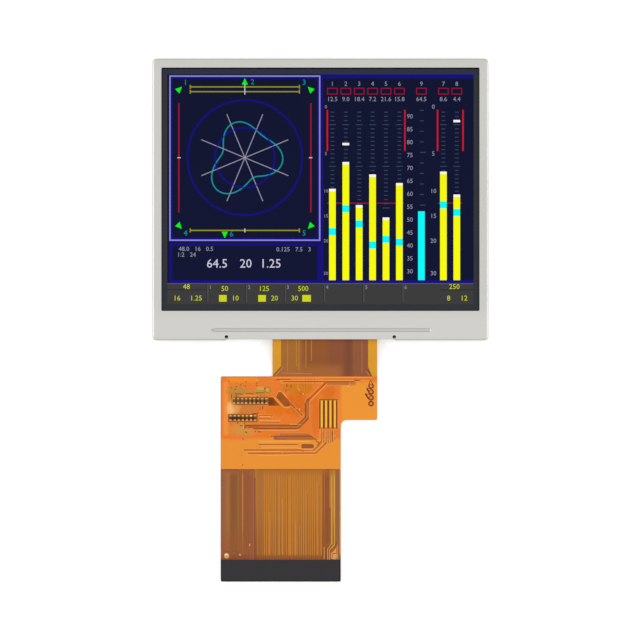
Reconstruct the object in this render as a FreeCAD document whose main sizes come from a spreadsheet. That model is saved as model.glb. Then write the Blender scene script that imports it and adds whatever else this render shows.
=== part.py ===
"""TFT display module, 3.5 inch class: folded steel bezel, liquid-crystal cell, backlight, flexible circuit.

The module lies on its back. The origin is the centre of its rear face, +X is the right of the screen,
+Y its top and +Z the way it faces. The flexible circuit leaves the bottom edge, falls in a gentle S
and lies flat just above the level of the rear face. All sizes are millimetres.
"""
import FreeCAD
import Part
import math
import os
import re
import Sketcher

# Driving dimensions: each is written once, here, and goes into the sheet called Sizes
SIZES = {
    # Lit picture: everything else is laid out round this field of square pixels
    "pixel_size": 0.219,
    "pixel_columns": 320,
    "pixel_rows": 240,
    "picture_thickness": 0.02,
    # Window round the picture, and the bezel's rims round the window
    "border_side": 1.36,
    "border_end": 1.57,
    "rim_side": 2.05,
    "rim_top": 2.1,
    "rim_bottom": 6.8,
    # Front bezel
    "bezel_sheet": 0.25,
    "bezel_inner_bend": 0.2,
    "bezel_wall_lift": 0.3,
    "window_corner_radius": 0.3,
    "bead_length": 50.6,
    "bead_width": 0.9,
    "bead_depth": 0.12,
    "bead_wall": 0.15,
    "bead_flank": 0.2,
    "bead_tip": 1.4,
    "bead_margin": 2.44,
    "notch_left_offset": 21.5,
    "notch_right_offset": 16.9,
    "notch_radius": 0.4,
    "notch_margin": 0.85,
    "notch_slit": 0.3,
    "corner_slit": 0.25,
    # Latches between the bezel walls and the rear plate walls
    "latch_width": 3.0,
    "latch_height": 0.7,
    "latch_level": 0.95,
    "latch_play": 0.2,
    "latch_proud": 0.2,
    "latch_side_pitch": 20.0,
    "latch_end_inset": 10.45,
    # Rear plate
    "rear_sheet": 0.2,
    "rear_inner_bend": 0.2,
    "rear_wall_height": 1.5,
    "shell_gap": 0.05,
    "jig_hole_radius": 0.8,
    "jig_hole_side_inset": 4.45,
    "jig_hole_end_inset": 8.3,
    # Moulded frame: the shells' corners are rounded about the frame's own
    "frame_corner_radius": 0.45,
    "notch_well": 1.0,
    # Backlight
    "reflector_thickness": 0.18,
    "guide_thickness": 0.8,
    "guide_overlap": 0.1,
    "guide_gap": 0.1,
    "mixing_length": 1.4,
    "diffuser_thickness": 0.1,
    "prism_thickness": 0.12,
    "film_inset": 0.1,
    "tape_thickness": 0.1,
    "tape_window_inset": 0.5,
    "tape_bottom_width": 1.2,
    "strip_end_inset": 3.5,
    "strip_width": 2.4,
    "strip_thickness": 0.12,
    "lead_width": 6.0,
    "lead_overlap": 3.5,
    "lead_play": 0.13,
    "joint_width": 1.8,
    "joint_length": 0.6,
    "joint_spacing": 3.0,
    "led_count": 6,
    "led_end_inset": 5.85,
    "led_width": 3.8,
    "led_depth": 0.9,
    "led_height": 0.6,
    "led_wall": 0.12,
    "led_side_wall": 0.4,
    "led_recess": 0.3,
    "led_gap": 0.05,
    "shelf_gap": 0.2,
    # Liquid-crystal cell
    "polarizer_thickness": 0.18,
    "polarizer_overlap": 0.6,
    "glass_thickness": 0.5,
    "glass_margin": 0.3,
    "ledge_width": 3.3,
    "cell_gap": 0.1,
    "cushion_thickness": 0.07,
    "cushion_inset": 0.15,
    "chip_length": 21.0,
    "chip_width": 1.2,
    "chip_height": 0.4,
    "chip_margin": 0.5,
    # Flexible circuit
    "flex_thickness": 0.1,
    "copper_thickness": 0.035,
    "cover_thickness": 0.025,
    "bond_width": 1.2,
    "neck_centre": 1.0,
    "neck_width": 24.0,
    "neck_length": 8.2,
    "neck_play": 0.3,
    "neck_left_strip": 2.0,
    "neck_right_strip": 2.1,
    "neck_gap": 0.2,
    "flare_width": 1.9,
    "flare_length": 2.2,
    "inner_corner_radius": 1.4,
    "outer_corner_radius": 0.3,
    "tail_centre": -9.1,
    "tail_reach": 55.25,
    "contact_count": 54,
    "contact_spacing": 0.5,
    "contact_width": 0.35,
    "contact_margin": 0.5,
    "contact_length": 4.0,
    "contact_inset": 0.3,
    "insertion_thickness": 0.3,
    "stiffener_length": 5.0,
    "trace_width": 0.3,
    "jog_shift": 1.0,
    "jog_rise": 3.2,
    # The wide part is laid out on a square grid, with this many columns across the film
    "grid_columns": 110,
    "cover_rows": 85,
    "ear_rows": 40,
    # Pads of the wide part: columns, rows and steps are counted on the grid
    "touch_pad_count": 4,
    "touch_pad_steps": 4,
    "touch_pad_width": 0.5,
    "touch_pad_rows": 24.6,
    "touch_pad_column": 92.6,
    "touch_pad_row": 22,
    "touch_window_margin": 0.3,
    "test_pad_count": 4,
    "test_pad_radius": 0.34,
    "test_pad_clearance": 0.16,
    "test_pad_inset": 1.4,
    "test_pad_row": 8.8,
    "test_pad_pitch": 1.35,
    # Chips of the wide part
    "capacitor_count": 9,
    "capacitor_steps": 3.7,
    "capacitor_width": 0.5,
    "capacitor_length": 1.3,
    "capacitor_height": 0.5,
    "capacitor_column": 11.2,
    "capacitor_row": 19.8,
    "resistor_count": 7,
    "resistor_steps": 3.75,
    "resistor_width": 0.5,
    "resistor_length": 1.3,
    "resistor_height": 0.35,
    "resistor_column": 8,
    "resistor_row": 35.5,
    "terminal_length": 0.3,
    "terminal_proud": 0.03,
    "alignment_pad_radius": 0.6,
    "alignment_pad_inset": 1.35,
    "alignment_pad_rise": 0.9,
    "alignment_square": 0.9,
}

# Levels and edges that follow from the sizes, in the sheet called Places
PLACES = {
    "window_right": "pixel_columns * pixel_size / 2 + border_side",
    "window_length": "pixel_rows * pixel_size + 2 * border_end",
    "half_width": "window_right + rim_side",
    "half_height": "(window_length + rim_top + rim_bottom) / 2",
    "window_top": "half_height - rim_top",
    "window_bottom": "window_top - window_length",
    # Levels of the stack, from the rear plate forward
    "guide_floor": "rear_sheet + reflector_thickness",
    "diffuser_floor": "guide_floor + guide_thickness",
    "lower_prism_floor": "diffuser_floor + diffuser_thickness",
    "upper_prism_floor": "lower_prism_floor + prism_thickness",
    "tape_floor": "upper_prism_floor + prism_thickness",
    "rear_polarizer_floor": "tape_floor + tape_thickness",
    "array_floor": "rear_polarizer_floor + polarizer_thickness",
    "filter_floor": "array_floor + glass_thickness",
    "front_polarizer_floor": "filter_floor + glass_thickness",
    "cushion_floor": "front_polarizer_floor + polarizer_thickness",
    "bezel_underside": "cushion_floor + cushion_thickness",
    "bezel_top": "bezel_underside + bezel_sheet",
    # What closes the window
    "polarizer_right": "window_right + polarizer_overlap",
    "polarizer_top": "window_top + polarizer_overlap",
    "polarizer_bottom": "window_bottom - polarizer_overlap",
    "glass_right": "polarizer_right + glass_margin",
    "glass_top": "polarizer_top + glass_margin",
    "filter_bottom": "polarizer_bottom - glass_margin",
    "array_bottom": "filter_bottom - ledge_width",
    # Shells, from the bezel inward
    "tray_right": "half_width - bezel_sheet - shell_gap",
    "tray_top": "half_height - bezel_sheet - shell_gap",
    "tray_inner_corner": "frame_corner_radius + shell_gap",
    "tray_corner": "tray_inner_corner + rear_sheet",
    "bezel_inner_corner": "tray_corner + shell_gap",
    "bezel_corner": "bezel_inner_corner + bezel_sheet",
    "bezel_bend": "bezel_inner_bend + bezel_sheet",
    "core_right": "tray_right - rear_sheet - shell_gap",
    "core_top": "tray_top - rear_sheet - shell_gap",
    "frame_step": "rear_wall_height + shell_gap",
    "frame_top": "bezel_underside - shell_gap",
    # Backlight
    "guide_right": "window_right + guide_overlap",
    "guide_top": "window_top + guide_overlap",
    "guide_bottom": "window_bottom - mixing_length",
    "led_front": "guide_bottom - led_gap",
    "led_floor": "rear_sheet + strip_thickness",
    "led_first": "led_end_inset - guide_right + led_width / 2",
    "strip_right": "guide_right - strip_end_inset",
    "strip_top": "guide_bottom - film_inset",
    "strip_bottom": "strip_top - strip_width",
    "shelf_edge": "led_front - led_depth - shelf_gap",
    "shelf_floor": "led_floor + led_height + shelf_gap",
    # Flexible circuit
    "neck_left": "neck_centre - neck_width / 2",
    "neck_right": "neck_centre + neck_width / 2",
    "bond_edge": "array_bottom + bond_width",
    "wide_top": "-half_height - neck_length",
    "tail_width": "(contact_count - 1) * contact_spacing + 2 * contact_margin",
    "grid": "tail_width / grid_columns",
    "ear_bottom": "wide_top - ear_rows * grid",
    "cover_bottom": "wide_top - cover_rows * grid",
    "tail_left": "tail_centre - tail_width / 2",
    "tail_right": "tail_centre + tail_width / 2",
    "tail_end": "-half_height - tail_reach",
    "stiffener_top": "tail_end + stiffener_length",
    "flex_floor": "rear_sheet + strip_thickness",
    "flex_front": "flex_floor + flex_thickness",
    "flex_drop": "filter_floor - flex_floor",
    "fall_radius": "(neck_length ^ 2 + flex_drop ^ 2) / (4 * flex_drop)",
    "fall_sine": "neck_length / (2 * fall_radius)",
    "fall_cosine": "1 - flex_drop / (2 * fall_radius)",
    "lead_end": "wide_top - lead_overlap",
    # Picture
    "picture_left": "border_side - window_right",
    "picture_bottom": "window_bottom + border_end",
}

# Gaps in the neck's copper: place across it and length, in percent of the copper's width and length
NECK_GAPS = ((7.5, 86), (17.5, 74), (20.5, 83), (28.5, 77), (35, 60), (84, 83), (88.5, 88), (93, 92))

# Contacts whose copper joins into one band on the tail, and the rise of its foot as a share of the jog's:
# contacts are counted from the left, and negative ones from the right
TAIL_BANDS = ((0, 7, 0.6), (12, 14, 0), (-7, -5, 1.1), (-1, -1, 0))

# Contacts whose single traces step aside above the stiffener, with the rise of the step as a share
JOGGED_CONTACTS = ((9, 0.6), (-4, 1), (-3, 1))

# Contacts at either end of the tail that have no straight trace of their own
CONTACTS_BEFORE_RUN = 16
CONTACTS_AFTER_RUN = 7

# Copper routes of the wide part: width, then the points of the centre line, all in grid steps
ROUTES = (
    (3, ((21.6, 46.3), (70.5, 46.3), (79.3, 37.5), (79.3, 22.5), (95.5, 6.3), (118, 6.3))),
    (2, ((47, 3.5), (92, 3.5))),
    (1.6, ((64, 25), (75, 36))),
    (0.8, ((35, 35.8), (48, 35.8))),
    (0.8, ((35, 38.4), (47, 38.4))),
    (0.8, ((35.5, 42.5), (54, 42.5))),
    (1.2, ((92.6, 47), (92.6, 60.5), (85.6, 67.5), (21, 67.5))),
    (1.2, ((96.6, 47), (96.6, 61), (87.2, 70.4), (25, 70.4))),
    (1.2, ((100.6, 47), (100.6, 61))),
    (1.2, ((104.6, 47), (104.6, 58))),
    (1, ((34, 62.5), (71, 62.5))),
)

# Wider copper areas of the wide part: their corners in grid steps
COPPER_AREAS = (
    ((43.6, 19.2), (48, 19.2), (54.6, 27), (43.6, 27)),
    ((53.5, 13.5), (57, 15), (66, 26.5), (58.8, 28), (50.5, 19)),
    ((47, 56.4), (48.5, 55), (54.2, 55), (54.2, 52.2), (80, 52.2), (89.6, 58.2), (49, 58.2)),
    ((74, 62), (84, 62), (85.5, 63.5), (85.5, 66), (74, 66)),
)

# Fields of the picture: left, bottom, right and top, in pixels from the lower left of the screen
PANEL_FIELDS = ((2, 66, 160, 239), (2, 22, 160, 63), (163, 22, 318, 239))
YELLOW_BARS = (
    (169, 25, 176, 118),
    (183, 25, 190, 146),
    (197, 25, 204, 101),
    (211, 25, 218, 133),
    (225, 25, 232, 88),
    (239, 25, 246, 124),
    (285, 25, 292, 136),
    (299, 25, 306, 112),
)
CYAN_BARS = ((262, 25, 269, 97),)
KEY_FIELDS = ((2, 2, 40, 19), (43, 2, 81, 19), (84, 2, 122, 19), (125, 2, 163, 19),
              (166, 2, 204, 19), (207, 2, 245, 19), (248, 2, 318, 19))


def bound(expression):
    """Puts the sheet's name before each size and place, so that any object can be bound to it."""
    def with_sheet(match):
        word = match.group()
        if word in SIZES:
            return "Sizes." + word
        return "Places." + word if word in PLACES else word
    return re.sub(r"[a-z]\w*", with_sheet, expression)


def fill_sheet(doc, name, cells):
    """A sheet with a name in each cell of its first column and the aliased value beside it."""
    sheet = doc.addObject("Spreadsheet::Sheet", name)
    for row, (alias, content) in enumerate(cells.items(), 1):
        sheet.set(f"A{row}", alias)
        sheet.set(f"B{row}", content)
        sheet.setAlias(f"B{row}", alias)
    doc.recompute()
    return sheet


def value(doc, expression):
    """The number that an expression in sizes and places has now."""
    return float(doc.getObject("Sizes").evalExpression(bound(expression)))


def new_body(doc, label):
    """A body that may hold several separate solids, such as a row of pads."""
    body = doc.addObject("PartDesign::Body", label)
    body.AllowCompound = True
    return body


def new_sketch(body, name, plane, level):
    """A sketch on one of the body's own origin planes, lifted to a level."""
    base = next(item for item in body.Origin.OriginFeatures if item.Role == plane)
    sketch = body.newObject("Sketcher::SketchObject", name)
    sketch.AttachmentSupport = [(base, "")]
    sketch.MapMode = "FlatFace"
    sketch.setExpression("AttachmentOffset.Base.z", bound(level))
    return sketch


def rectangle(left, bottom, right, top, radius=None):
    """Corners of a rectangle, counter-clockwise, each rounded if a radius is given."""
    corners = ((left, bottom), (right, bottom), (right, top), (left, top))
    return [corner + (radius,) if radius else corner for corner in corners]


def centred(half_width, bottom, top, radius=None):
    """A rectangle that is symmetrical about the module's centre line."""
    return rectangle(f"-({half_width})", bottom, half_width, top, radius)


def side_of(start, end):
    """Unit step from one point to another along an axis."""
    run = end - start
    reach = max(abs(run.x), abs(run.y))
    return round(run.x / reach), round(run.y / reach)


def rounded(doc, corners):
    """Points of an outline: a corner with a radius becomes two tangent points joined by an arc."""
    spots = [FreeCAD.Vector(value(doc, corner[0]), value(doc, corner[1])) for corner in corners]
    points = []
    for number, corner in enumerate(corners):
        if len(corner) == 2:
            points.append((corner[0], corner[1], None))
            continue
        across, up, radius = corner
        back = side_of(spots[number], spots[number - 1])
        ahead = side_of(spots[number], spots[(number + 1) % len(corners)])
        turn = 1 if back[1] * ahead[0] - back[0] * ahead[1] > 0 else -1
        for step, arc in ((back, (radius, turn)), (ahead, None)):
            points.append((f"({across}) + ({step[0]}) * ({radius})", f"({up}) + ({step[1]}) * ({radius})", arc))
    return points


def arc_between(start, end, radius, turn):
    """The shorter arc from one point to another: turn is 1 where its centre lies to the left."""
    chord = end - start
    rise = math.sqrt(max(radius ** 2 - (chord.Length / 2) ** 2, 0.0)) / chord.Length
    centre = (start + end) / 2 + FreeCAD.Vector(-chord.y, chord.x) * rise * turn
    first, last = (start, end) if turn > 0 else (end, start)
    angles = [math.atan2(spot.y - centre.y, spot.x - centre.x) for spot in (first, last)]
    circle = Part.Circle(centre, FreeCAD.Vector(0, 0, 1), radius)
    return Part.ArcOfCircle(circle, angles[0], angles[1])


def draw(doc, sketch, points):
    """Adds one closed outline to a sketch: every point and radius is bound to its expression."""
    spots = [FreeCAD.Vector(value(doc, point[0]), value(doc, point[1])) for point in points]
    first = sketch.GeometryCount
    for number, point in enumerate(points):
        ahead = spots[(number + 1) % len(points)]
        if point[2]:
            radius, turn = point[2]
            sketch.addGeometry(arc_between(spots[number], ahead, value(doc, radius), turn))
        else:
            sketch.addGeometry(Part.LineSegment(spots[number], ahead))
    for number, point in enumerate(points):
        start, end = start_and_end(points, number)
        previous_end = start_and_end(points, number - 1)[1]
        previous = first + (number - 1) % len(points)
        sketch.addConstraint(Sketcher.Constraint("Coincident", previous, previous_end, first + number, start))
        spot = spots[number]
        for kind, size, expression in (("DistanceX", spot.x, point[0]), ("DistanceY", spot.y, point[1])):
            fixed = Sketcher.Constraint(kind, -1, 1, first + number, start, size)
            bind_constraint(sketch, fixed, expression)
        if point[2]:
            fixed = Sketcher.Constraint("Radius", first + number, value(doc, point[2][0]))
            bind_constraint(sketch, fixed, point[2][0])


def start_and_end(points, number):
    """Which end of an edge is met first: an arc that turns right runs backwards."""
    arc = points[number][2]
    return (2, 1) if arc and arc[1] < 0 else (1, 2)


def bind_constraint(sketch, constraint, expression):
    """Adds a constraint and binds its size."""
    index = sketch.addConstraint(constraint)
    sketch.setExpression(f"Constraints[{index}]", bound(expression))


def draw_circle(doc, sketch, across, up, radius):
    """Adds one circle with its centre and radius bound."""
    centre = FreeCAD.Vector(value(doc, across), value(doc, up))
    index = sketch.addGeometry(Part.Circle(centre, FreeCAD.Vector(0, 0, 1), value(doc, radius)))
    bind_constraint(sketch, Sketcher.Constraint("DistanceX", -1, 1, index, 3, centre.x), across)
    bind_constraint(sketch, Sketcher.Constraint("DistanceY", -1, 1, index, 3, centre.y), up)
    bind_constraint(sketch, Sketcher.Constraint("Radius", index, value(doc, radius)), radius)


def fill_sketch(doc, sketch, outlines=(), circles=()):
    """Draws every outline and circle of a sketch."""
    for corners in outlines:
        draw(doc, sketch, rounded(doc, corners))
    for circle in circles:
        draw_circle(doc, sketch, *circle)


def pad(body, name, outlines, floor, thickness, circles=()):
    """Adds a slab with the given outlines: outlines that lie inside another are holes."""
    doc = body.Document
    sketch = new_sketch(body, name + "Sketch", "XY_Plane", floor)
    fill_sketch(doc, sketch, outlines, circles)
    feature = body.newObject("PartDesign::Pad", name)
    feature.Profile = sketch
    feature.setExpression("Length", bound(thickness))
    doc.recompute()
    return feature


def cut(body, name, outlines, ceiling, depth, circles=(), plane="XY_Plane"):
    """Cuts down from a level by a depth, or right through both ways where the depth is None."""
    doc = body.Document
    before = body.Tip.Shape.Volume
    sketch = new_sketch(body, name + "Sketch", plane, ceiling)
    fill_sketch(doc, sketch, outlines, circles)
    feature = body.newObject("PartDesign::Pocket", name)
    feature.Profile = sketch
    if depth:
        feature.setExpression("Length", bound(depth))
    else:
        feature.Type = "ThroughAll"
        feature.Midplane = True
    doc.recompute()
    if not feature.Shape.Volume < before:
        raise ValueError(f"{body.Label}: {name} cuts nothing")
    return feature


def dress_edges(body, kind, name, wanted):
    """A fillet or chamfer on the edges of the body that the test picks."""
    base = body.Tip
    picked = [f"Edge{number}" for number, edge in enumerate(base.Shape.Edges, 1) if wanted(edge)]
    feature = body.newObject(f"PartDesign::{kind}", name)
    feature.Base = (base, picked)
    return feature


def fillet(body, name, radius, wanted):
    """Rounds edges."""
    dress_edges(body, "Fillet", name, wanted).setExpression("Radius", bound(radius))
    body.Document.recompute()


def chamfer(body, name, size, wanted):
    """Bevels edges evenly."""
    dress_edges(body, "Chamfer", name, wanted).setExpression("Size", bound(size))
    body.Document.recompute()


def repeat(body, name, features, axis, length, count):
    """Repeats features in a straight row along an axis of the body."""
    pattern = body.newObject("PartDesign::LinearPattern", name)
    pattern.Originals = features
    direction = next(item for item in body.Origin.OriginFeatures if item.Role == axis)
    pattern.Direction = (direction, [""])
    pattern.setExpression("Length", bound(length))
    pattern.setExpression("Occurrences", bound(count))
    body.Tip = pattern
    body.Document.recompute()
    return pattern


def at_level(level):
    """A test for edges that lie wholly at one height."""
    return lambda edge: all(abs(vertex.Z - level) < 1e-6 for vertex in edge.Vertexes)


def slab(doc, label, outlines, floor, thickness, circles=()):
    """A flat piece: one or more outlines, padded."""
    body = new_body(doc, label)
    pad(body, "Slab", outlines, floor, thickness, circles)
    return body


def front_bezel(doc):
    """The bezel: sheet steel folded down on four sides, with the viewing window, bead and notches."""
    body = new_body(doc, "front_bezel")
    blank = centred("half_width", "-half_height", "half_height", "bezel_corner")
    pad(body, "Blank", [blank], "bezel_wall_lift", "bezel_top - bezel_wall_lift")
    fillet(body, "Bends", "bezel_bend", at_level(value(doc, "bezel_top")))
    hollow = centred("half_width - bezel_sheet", "bezel_sheet - half_height", "half_height - bezel_sheet",
                     "bezel_inner_corner")
    cut(body, "Hollow", [hollow], "bezel_underside", "bezel_underside - bezel_wall_lift")
    fillet(body, "InnerBends", "bezel_inner_bend", at_level(value(doc, "bezel_underside")))
    window = centred("window_right", "window_bottom", "window_top", "window_corner_radius")
    cut(body, "Window", [window], "bezel_top", None)
    cut_flex_side(body)
    cut_corner_slits(body, "half_width", "half_height", "bezel_top - bezel_bend",
                     "bezel_top - bezel_bend - bezel_wall_lift")
    cut_latch_windows(body)
    press_bead(body)
    return body


def cut_flex_side(body):
    """Takes away the bottom wall between the two bend-relief notches, where the circuit passes."""
    foot = "bezel_sheet + shell_gap - half_height"
    beyond = "-half_height - bezel_sheet"
    wall = rectangle("-notch_left_offset", beyond, "notch_right_offset", foot)
    cut(body, "FlexSide", [wall], "bezel_top", None)
    centre = "notch_margin - half_height"
    for name, across in (("LeftNotch", "-notch_left_offset"), ("RightNotch", "notch_right_offset")):
        slit = rectangle(f"{across} - notch_slit / 2", beyond, f"{across} + notch_slit / 2", centre)
        cut(body, name + "Slit", [slit], "bezel_top", None)
        cut(body, name, [], "bezel_top", None, circles=[(across, centre, "notch_radius")])


def cut_corner_slits(body, right, top, ceiling, depth):
    """Opens a narrow diagonal slit at each corner, where two folded walls meet."""
    slits = []
    reach = "bezel_corner"
    half = "corner_slit / 2"
    for across in (1, -1):
        for up in (1, -1):
            corner = (f"{across} * {right}", f"{up} * {top}")
            slits.append([
                (f"{corner[0]} + {across} * ({reach} + {half})", f"{corner[1]} + {up} * ({reach} - {half})"),
                (f"{corner[0]} + {across} * ({reach} - {half})", f"{corner[1]} + {up} * ({reach} + {half})"),
                (f"{corner[0]} - {across} * ({reach} + {half})", f"{corner[1]} - {up} * ({reach} - {half})"),
                (f"{corner[0]} - {across} * ({reach} - {half})", f"{corner[1]} - {up} * ({reach} + {half})"),
            ])
    cut(body, "CornerSlits", slits, ceiling, depth)


def cut_latch_windows(body):
    """Latch windows in the walls: three in each side wall, two in the top wall and two in the bottom."""
    floor = "latch_level - latch_height / 2"
    ceiling = "latch_level + latch_height / 2"
    sides = [rectangle(f"{step} * latch_side_pitch - latch_width / 2", floor,
                       f"{step} * latch_side_pitch + latch_width / 2", ceiling) for step in (-1, 0, 1)]
    cut(body, "SideLatches", sides, "0", None, plane="YZ_Plane")
    ends = [rectangle(f"{step} * (half_width - latch_end_inset) - latch_width / 2", floor,
                      f"{step} * (half_width - latch_end_inset) + latch_width / 2", ceiling) for step in (-1, 1)]
    cut(body, "EndLatches", ends, "0", None, plane="XZ_Plane")


def bead_outline(grown):
    """The bead's plan, grown by a width all round: a point at its left end and a round right end."""
    level = "(bead_margin - half_height)"
    left = f"-bead_length / 2 - {grown}"
    right = f"bead_length / 2 + {grown}"
    half = f"(bead_width / 2 + {grown})"
    tip = "bead_tip"
    return [
        (left, level, None),
        (f"{left} + {tip}", f"{level} - {half}", None),
        (f"{right} - {half}", f"{level} - {half}", (half, 1)),
        (right, level, (half, 1)),
        (f"{right} - {half}", f"{level} + {half}", None),
        (f"{left} + {tip}", f"{level} + {half}", None),
    ]


def press_bead(body):
    """Presses the stiffening bead: a groove in the front and its ridge underneath, with sloped flanks."""
    ridge = new_sketch(body, "RidgeSketch", "XY_Plane", "bezel_underside")
    draw(body.Document, ridge, bead_outline("bead_wall"))
    raised = body.newObject("PartDesign::Pad", "Ridge")
    raised.Profile = ridge
    raised.Reversed = True
    slope_flanks(raised)
    groove = new_sketch(body, "GrooveSketch", "XY_Plane", "bezel_top")
    draw(body.Document, groove, bead_outline("0"))
    sunk = body.newObject("PartDesign::Pocket", "Groove")
    sunk.Profile = groove
    slope_flanks(sunk)
    if not sunk.Shape.Volume < raised.Shape.Volume:
        raise ValueError("front_bezel: the bead's groove cuts nothing")


def slope_flanks(feature):
    """Gives one side of the bead its depth, and flanks that draw in towards its floor."""
    feature.setExpression("Length", bound("bead_depth"))
    feature.setExpression("TaperAngle", bound("-atan(bead_flank / bead_depth)"))
    feature.Document.recompute()


def rear_plate(doc):
    """The rear plate: a shallow folded tray whose walls stand inside the bezel's and latch into them."""
    body = new_body(doc, "rear_plate")
    blank = centred("tray_right", "-tray_top", "tray_top", "tray_corner")
    pad(body, "Blank", [blank], "0", "rear_wall_height")
    fillet(body, "Bends", "rear_inner_bend + rear_sheet", at_level(0.0))
    hollow = centred("tray_right - rear_sheet", "rear_sheet - tray_top", "tray_top - rear_sheet",
                     "tray_inner_corner")
    cut(body, "Hollow", [hollow], "rear_wall_height", "rear_wall_height - rear_sheet")
    fillet(body, "InnerBends", "rear_inner_bend", at_level(value(body.Document, "rear_sheet")))
    cut_corner_slits(body, "tray_right", "tray_top", "rear_wall_height",
                     "rear_wall_height - rear_inner_bend - rear_sheet")
    slot = rectangle("neck_centre - lead_width / 2 - lead_play", "-half_height",
                     "neck_centre + lead_width / 2 + lead_play",
                     "rear_sheet + rear_inner_bend + shell_gap - tray_top")
    cut(body, "LeadSlot", [slot], "led_floor + lead_play", "strip_thickness + lead_play")
    add_latch_bumps(body)
    holes = [(f"{side} * (half_width - jig_hole_side_inset)", f"{-side} * (half_height - jig_hole_end_inset)",
              "jig_hole_radius") for side in (-1, 1)]
    cut(body, "JigHoles", [], "rear_sheet", "rear_sheet", circles=holes)
    return body


def add_latch_bumps(body):
    """Bumps on the walls that snap into the bezel's latch windows."""
    half = "(latch_width / 2 - latch_play)"
    bumps = []
    for side in (-1, 1):
        outward = sorted((0, side))
        for step in (-1, 0, 1):
            bumps.append(rectangle(f"{side} * tray_right + {outward[0]} * latch_proud",
                                   f"{step} * latch_side_pitch - {half}",
                                   f"{side} * tray_right + {outward[1]} * latch_proud",
                                   f"{step} * latch_side_pitch + {half}"))
        for step in (-1, 1):
            centre = f"{step} * (half_width - latch_end_inset)"
            bumps.append(rectangle(f"{centre} - {half}", f"{side} * tray_top + {outward[0]} * latch_proud",
                                   f"{centre} + {half}", f"{side} * tray_top + {outward[1]} * latch_proud"))
    pad(body, "Bumps", bumps, "latch_level - latch_height / 2 + latch_play / 2", "latch_height - latch_play")


def moulded_frame(doc):
    """The white frame: light guide opening below, stepped recess for the cell above, ledge shelf."""
    body = new_body(doc, "moulded_frame")
    lower = centred("core_right", "-core_top", "core_top", "frame_corner_radius")
    pad(body, "Lower", [lower], "rear_sheet", "frame_step - rear_sheet")
    chamfer(body, "RearChamfer", "rear_inner_bend", at_level(value(doc, "rear_sheet")))
    upper = centred("tray_right", "-tray_top", "tray_top", "tray_corner")
    pad(body, "Upper", [upper], "frame_step", "frame_top - frame_step")
    chamfer(body, "FrontChamfer", "bezel_inner_bend", at_level(value(doc, "frame_top")))
    opening = centred("guide_right + guide_gap", "strip_bottom - guide_gap", "guide_top + guide_gap")
    cut(body, "GuideOpening", [opening], "frame_top", None)
    recess = centred("glass_right + cell_gap", "array_bottom - cell_gap", "glass_top + cell_gap")
    cut(body, "CellRecess", [recess], "frame_top", "frame_top - tape_floor")
    shelf = centred("glass_right + cell_gap", "array_bottom - cell_gap", "shelf_edge")
    pad(body, "LedgeShelf", [shelf], "shelf_floor", "array_floor - shelf_floor")
    way_out = rectangle("neck_left - neck_play", "-half_height", "neck_right + neck_play",
                        "array_bottom - cell_gap")
    cut(body, "FlexWay", [way_out], "frame_top", "frame_top - filter_floor")
    bead = centred("bead_length / 2 + bead_wall + shell_gap",
                   "bead_margin - bead_width / 2 - bead_wall - shell_gap - half_height",
                   "array_bottom - cell_gap")
    cut(body, "BeadRelief", [bead], "frame_top", "bead_depth")
    wells = [(across, "notch_margin - half_height", "notch_radius")
             for across in ("-notch_left_offset", "notch_right_offset")]
    cut(body, "NotchWells", [], "frame_top", "notch_well", circles=wells)
    slot = rectangle("neck_centre - lead_width / 2 - lead_play", "-half_height",
                     "neck_centre + lead_width / 2 + lead_play", "strip_bottom")
    cut(body, "LeadSlot", [slot], "led_floor + lead_play", "strip_thickness + lead_play")
    return body


def backlight_sheets(doc):
    """Reflector, light guide, diffuser and the two prism films, stacked in the frame's opening."""
    guide = centred("guide_right", "guide_bottom", "guide_top")
    film = centred("guide_right - film_inset", "guide_bottom + film_inset", "guide_top - film_inset")
    return [
        slab(doc, "reflector_film", [guide], "rear_sheet", "reflector_thickness"),
        slab(doc, "light_guide", [guide], "guide_floor", "guide_thickness"),
        slab(doc, "diffuser_film", [film], "diffuser_floor", "diffuser_thickness"),
        slab(doc, "lower_prism_film", [film], "lower_prism_floor", "prism_thickness"),
        slab(doc, "upper_prism_film", [film], "upper_prism_floor", "prism_thickness"),
    ]


def rim_tape(doc):
    """The black tape that joins the films and the frame to the cell and stops stray light."""
    outer = centred("glass_right", "guide_bottom - tape_bottom_width + film_inset", "glass_top")
    inner = centred("window_right - tape_window_inset", "window_bottom + tape_window_inset",
                    "window_top - tape_window_inset")
    return slab(doc, "rim_tape", [outer, inner], "tape_floor", "tape_thickness")


def cell(doc):
    """The liquid-crystal cell: two polarizers, the two glasses and the driver chip on the ledge."""
    polarizer = centred("polarizer_right", "polarizer_bottom", "polarizer_top")
    filter_plan = centred("glass_right", "filter_bottom", "glass_top")
    array_plan = centred("glass_right", "array_bottom", "glass_top")
    chip = centred("chip_length / 2", "filter_bottom - chip_margin - chip_width", "filter_bottom - chip_margin")
    return [
        slab(doc, "rear_polarizer", [polarizer], "rear_polarizer_floor", "polarizer_thickness"),
        slab(doc, "array_glass", [array_plan], "array_floor", "glass_thickness"),
        slab(doc, "colour_filter_glass", [filter_plan], "filter_floor", "glass_thickness"),
        slab(doc, "front_polarizer", [polarizer], "front_polarizer_floor", "polarizer_thickness"),
        slab(doc, "driver_chip", [chip], "filter_floor", "chip_height"),
    ]


def bezel_cushion(doc):
    """The thin foam ring between the polarizer's rim and the bezel."""
    outer = centred("polarizer_right", "polarizer_bottom", "polarizer_top")
    inner = centred("window_right + cushion_inset", "window_bottom - cushion_inset",
                    "window_top + cushion_inset")
    return slab(doc, "bezel_cushion", [outer, inner], "cushion_floor", "cushion_thickness")


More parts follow.
